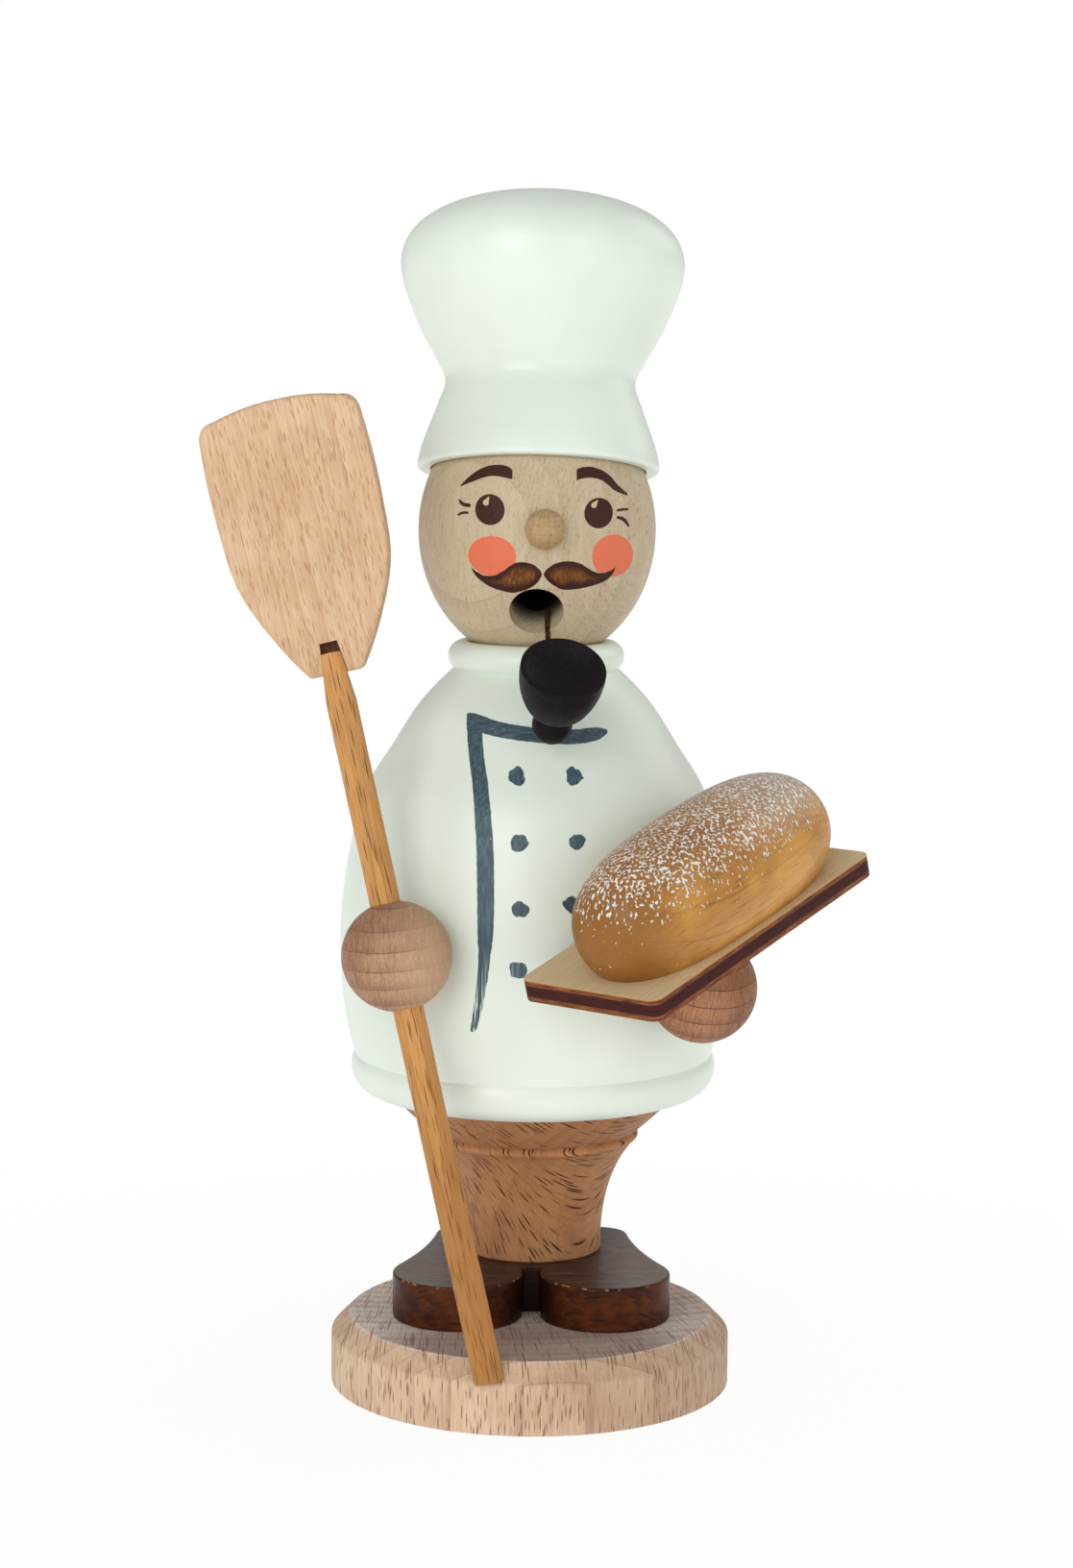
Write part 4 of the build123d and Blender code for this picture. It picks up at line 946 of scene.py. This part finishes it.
# Pipe: a turned bowl on a round knob, stained nearly black, and a thin dark stem.
# The stem is glued into the knob and lies over the lower lip into the mouth.
KNOB_RADIUS, KNOB_AHEAD, KNOB_BELOW, KNOB_SIDE = 3.3, 28.0, 29.8, 2.7
PIPE_TILT, PIPE_LEAN, PIPE_NECK = 39.0, 7.7, (2.5, 2.6)
PIPE_FLANK = [(4.5, 4.0), (6.05, 6.9), (6.85, 10.2), (6.95, 12.8)]
PIPE_RIM_WIDTH, PIPE_HOLLOW = 0.7, 2.2
STEM_RADIUS, STEM_BITE, STEM_SIDE, STEM_IN_MOUTH = 0.45, 0.2, 1.9, 5.0

tilt, lean = math.radians(PIPE_TILT), math.radians(PIPE_LEAN)
pipe_way = Vector((math.sin(lean), -math.sin(tilt) * math.cos(lean), math.cos(tilt) * math.cos(lean)))
knob = head_middle + Vector((KNOB_SIDE, -KNOB_AHEAD, -KNOB_BELOW))
rim_radius, rim_height = PIPE_FLANK[-1]
hollow_radius = rim_radius - PIPE_RIM_WIDTH
hollow_ball = (hollow_radius**2 + PIPE_HOLLOW**2) / (2 * PIPE_HOLLOW)
hollow_edge = math.degrees(math.asin(hollow_radius / hollow_ball))
hollow = arc((0, rim_height - PIPE_HOLLOW + hollow_ball), hollow_ball, hollow_edge - 90, -90, steps=16)
neck_angle = math.degrees(math.acos(PIPE_NECK[0] / KNOB_RADIUS))
pipe = turned(
    "pipe",
    arc((0, 0), KNOB_RADIUS, -90, neck_angle, steps=24) + flow(PIPE_NECK, *PIPE_FLANK) + hollow,
    knob,
    pipe_way,
    steps=96,
)
lip_down = mouth_out.cross(Vector((1, 0, 0))).normalized()
lip = mouth + Vector((STEM_SIDE, 0, 0)) - lip_down * math.sqrt(MOUTH_RADIUS**2 - STEM_SIDE**2)
lip_out = (lip - knob).normalized().cross(Vector((1, 0, 0))).normalized()
stem_rest = lip + lip_out * (STEM_RADIUS - STEM_BITE)
stem_way = (stem_rest - knob).normalized()
stem_length = (stem_rest - knob).length + STEM_IN_MOUTH
stem_side = [(0, 0), (STEM_RADIUS, 0), (STEM_RADIUS, stem_length), (0, stem_length)]
stem = turned("stem", stem_side, knob, stem_way, steps=24)
drill(pipe, knob, stem_rest, STEM_RADIUS, steps=24)
drill(head, knob, knob + stem_way * stem_length, STEM_RADIUS, steps=24)
for pipe_piece, node in ((pipe, "pipe_bowl"), (stem, "pipe_stem")):
    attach(pipe_piece, "figure")
    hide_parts(node)

material, spot = new_finish("pipe_stain")
fibre = spot.noise(2.6, 2.6, 0.3, 3).between(0.35, 0.7)
dust = spot.noise(3.0, 3.0, 3.0, 2).between(0.72, 0.76)
colour = (dust * 0.4).tint(fibre.tint(tone(27, 19, 24), tone(17, 12, 16)), tone(96, 86, 86))
dress([pipe], material, colour, 0.46 + fibre * 0.1 + dust * 0.2, 1 - fibre * 0.5, 0.02, Specular_IOR_Level=0.12)

material, spot = new_finish("stem_stain")
fibre = spot.noise(3.0, 3.0, 0.4, 3).between(0.4, 0.65)
colour = fibre.tint(tone(36, 22, 12), tone(86, 58, 28))
dress([stem], material, colour, 0.4 + fibre * 0.1, 1 - fibre * 0.5, 0.02, Specular_IOR_Level=0.2)


# Dowels and pegs: plain beech rod that holds the turned pieces together from inside.
# They stay as the frame has them and only get their wood.
ROD_TONES = (214, 180, 146), (186, 148, 114), (142, 96, 66), (196, 160, 126)
ROD_WOOD = dict(middle=FIGURE, pith=(0, 80, 0), way=UP, ring=2.4, fleck=(0.2, 2.0, 2.0), share=0.4)
rods = [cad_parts[name] for name in ("leg_dowel", "hat_dowel", "right_hand_peg", "left_hand_peg", "board_peg")]
bare_wood("rod_beech", rods, ROD_TONES, ROD_WOOD)


# Studio: a white floor and surround, a large soft light at the front left, and a camera a little
# above the figure that looks slightly down on it.
bpy.ops.object.select_all(action="DESELECT")
bpy.ops.mesh.primitive_plane_add(size=6)
floor = bpy.context.object
floor.name = "floor"

material, spot = new_finish("white_floor")
far = spot.length().between(45, 180) * 0.06 + 0.94
shader = material.node_tree.nodes["Principled BSDF"]
shader.inputs["Base Color"].default_value = (0.9, 0.9, 0.9, 1)
shader.inputs["Roughness"].default_value = 0.9
glow = spot.node("Emission", {}, {"Color": (1, 1, 1, 1), "Strength": 1.0})
lit = Wire(material.node_tree, shader.outputs[0])
blend = far.node("MixShader", {}, {0: far, 1: lit, 2: glow})
material.node_tree.links.new(blend.socket, material.node_tree.nodes["Material Output"].inputs["Surface"])
floor.data.materials.append(material)

world = bpy.data.worlds.new("studio")
world.use_nodes = True
sky = Wire(world.node_tree, None)
seen = sky.node("LightPath", {}, {}, "Is Camera Ray")
world.node_tree.links.new((0.5 + seen * 0.5).socket, world.node_tree.nodes["Background"].inputs["Strength"])
world.node_tree.nodes["Background"].inputs["Color"].default_value = (1, 1, 1, 1)
bpy.context.scene.world = world
bpy.context.scene.view_settings.view_transform = "Standard"

for name, place, size, power in (
    ("key", (-0.45, -1.0, 0.5), 0.7, 4.5),
    ("fill", (0.6, -0.9, 0.35), 0.7, 1.3),
    ("back", (0.75, 0.5, 0.6), 0.6, 1.1),
):
    lamp = bpy.data.lights.new(name, "AREA")
    lamp.size = size
    lamp.energy = power
    light = bpy.data.objects.new(name, lamp)
    light.location = place
    light.rotation_euler = (Vector((0, 0, 0.1)) - Vector(place)).to_track_quat("-Z", "Y").to_euler()
    bpy.context.collection.objects.link(light)

CAMERA_PLACE, CAMERA_DIP, CAMERA_ROLL, CAMERA_LENS = Vector((0.43, -596.0, 180.3)), 7.5, 0.45, 82.72
camera_data = bpy.data.cameras.new("camera")
camera_data.lens = CAMERA_LENS
camera = bpy.data.objects.new("camera", camera_data)
bpy.context.collection.objects.link(camera)
look = Matrix.Rotation(math.radians(90 - CAMERA_DIP), 4, "X") @ Matrix.Rotation(math.radians(CAMERA_ROLL), 4, "Z")
camera.matrix_world = Matrix.Translation(CAMERA_PLACE * MM) @ look
bpy.context.scene.camera = camera
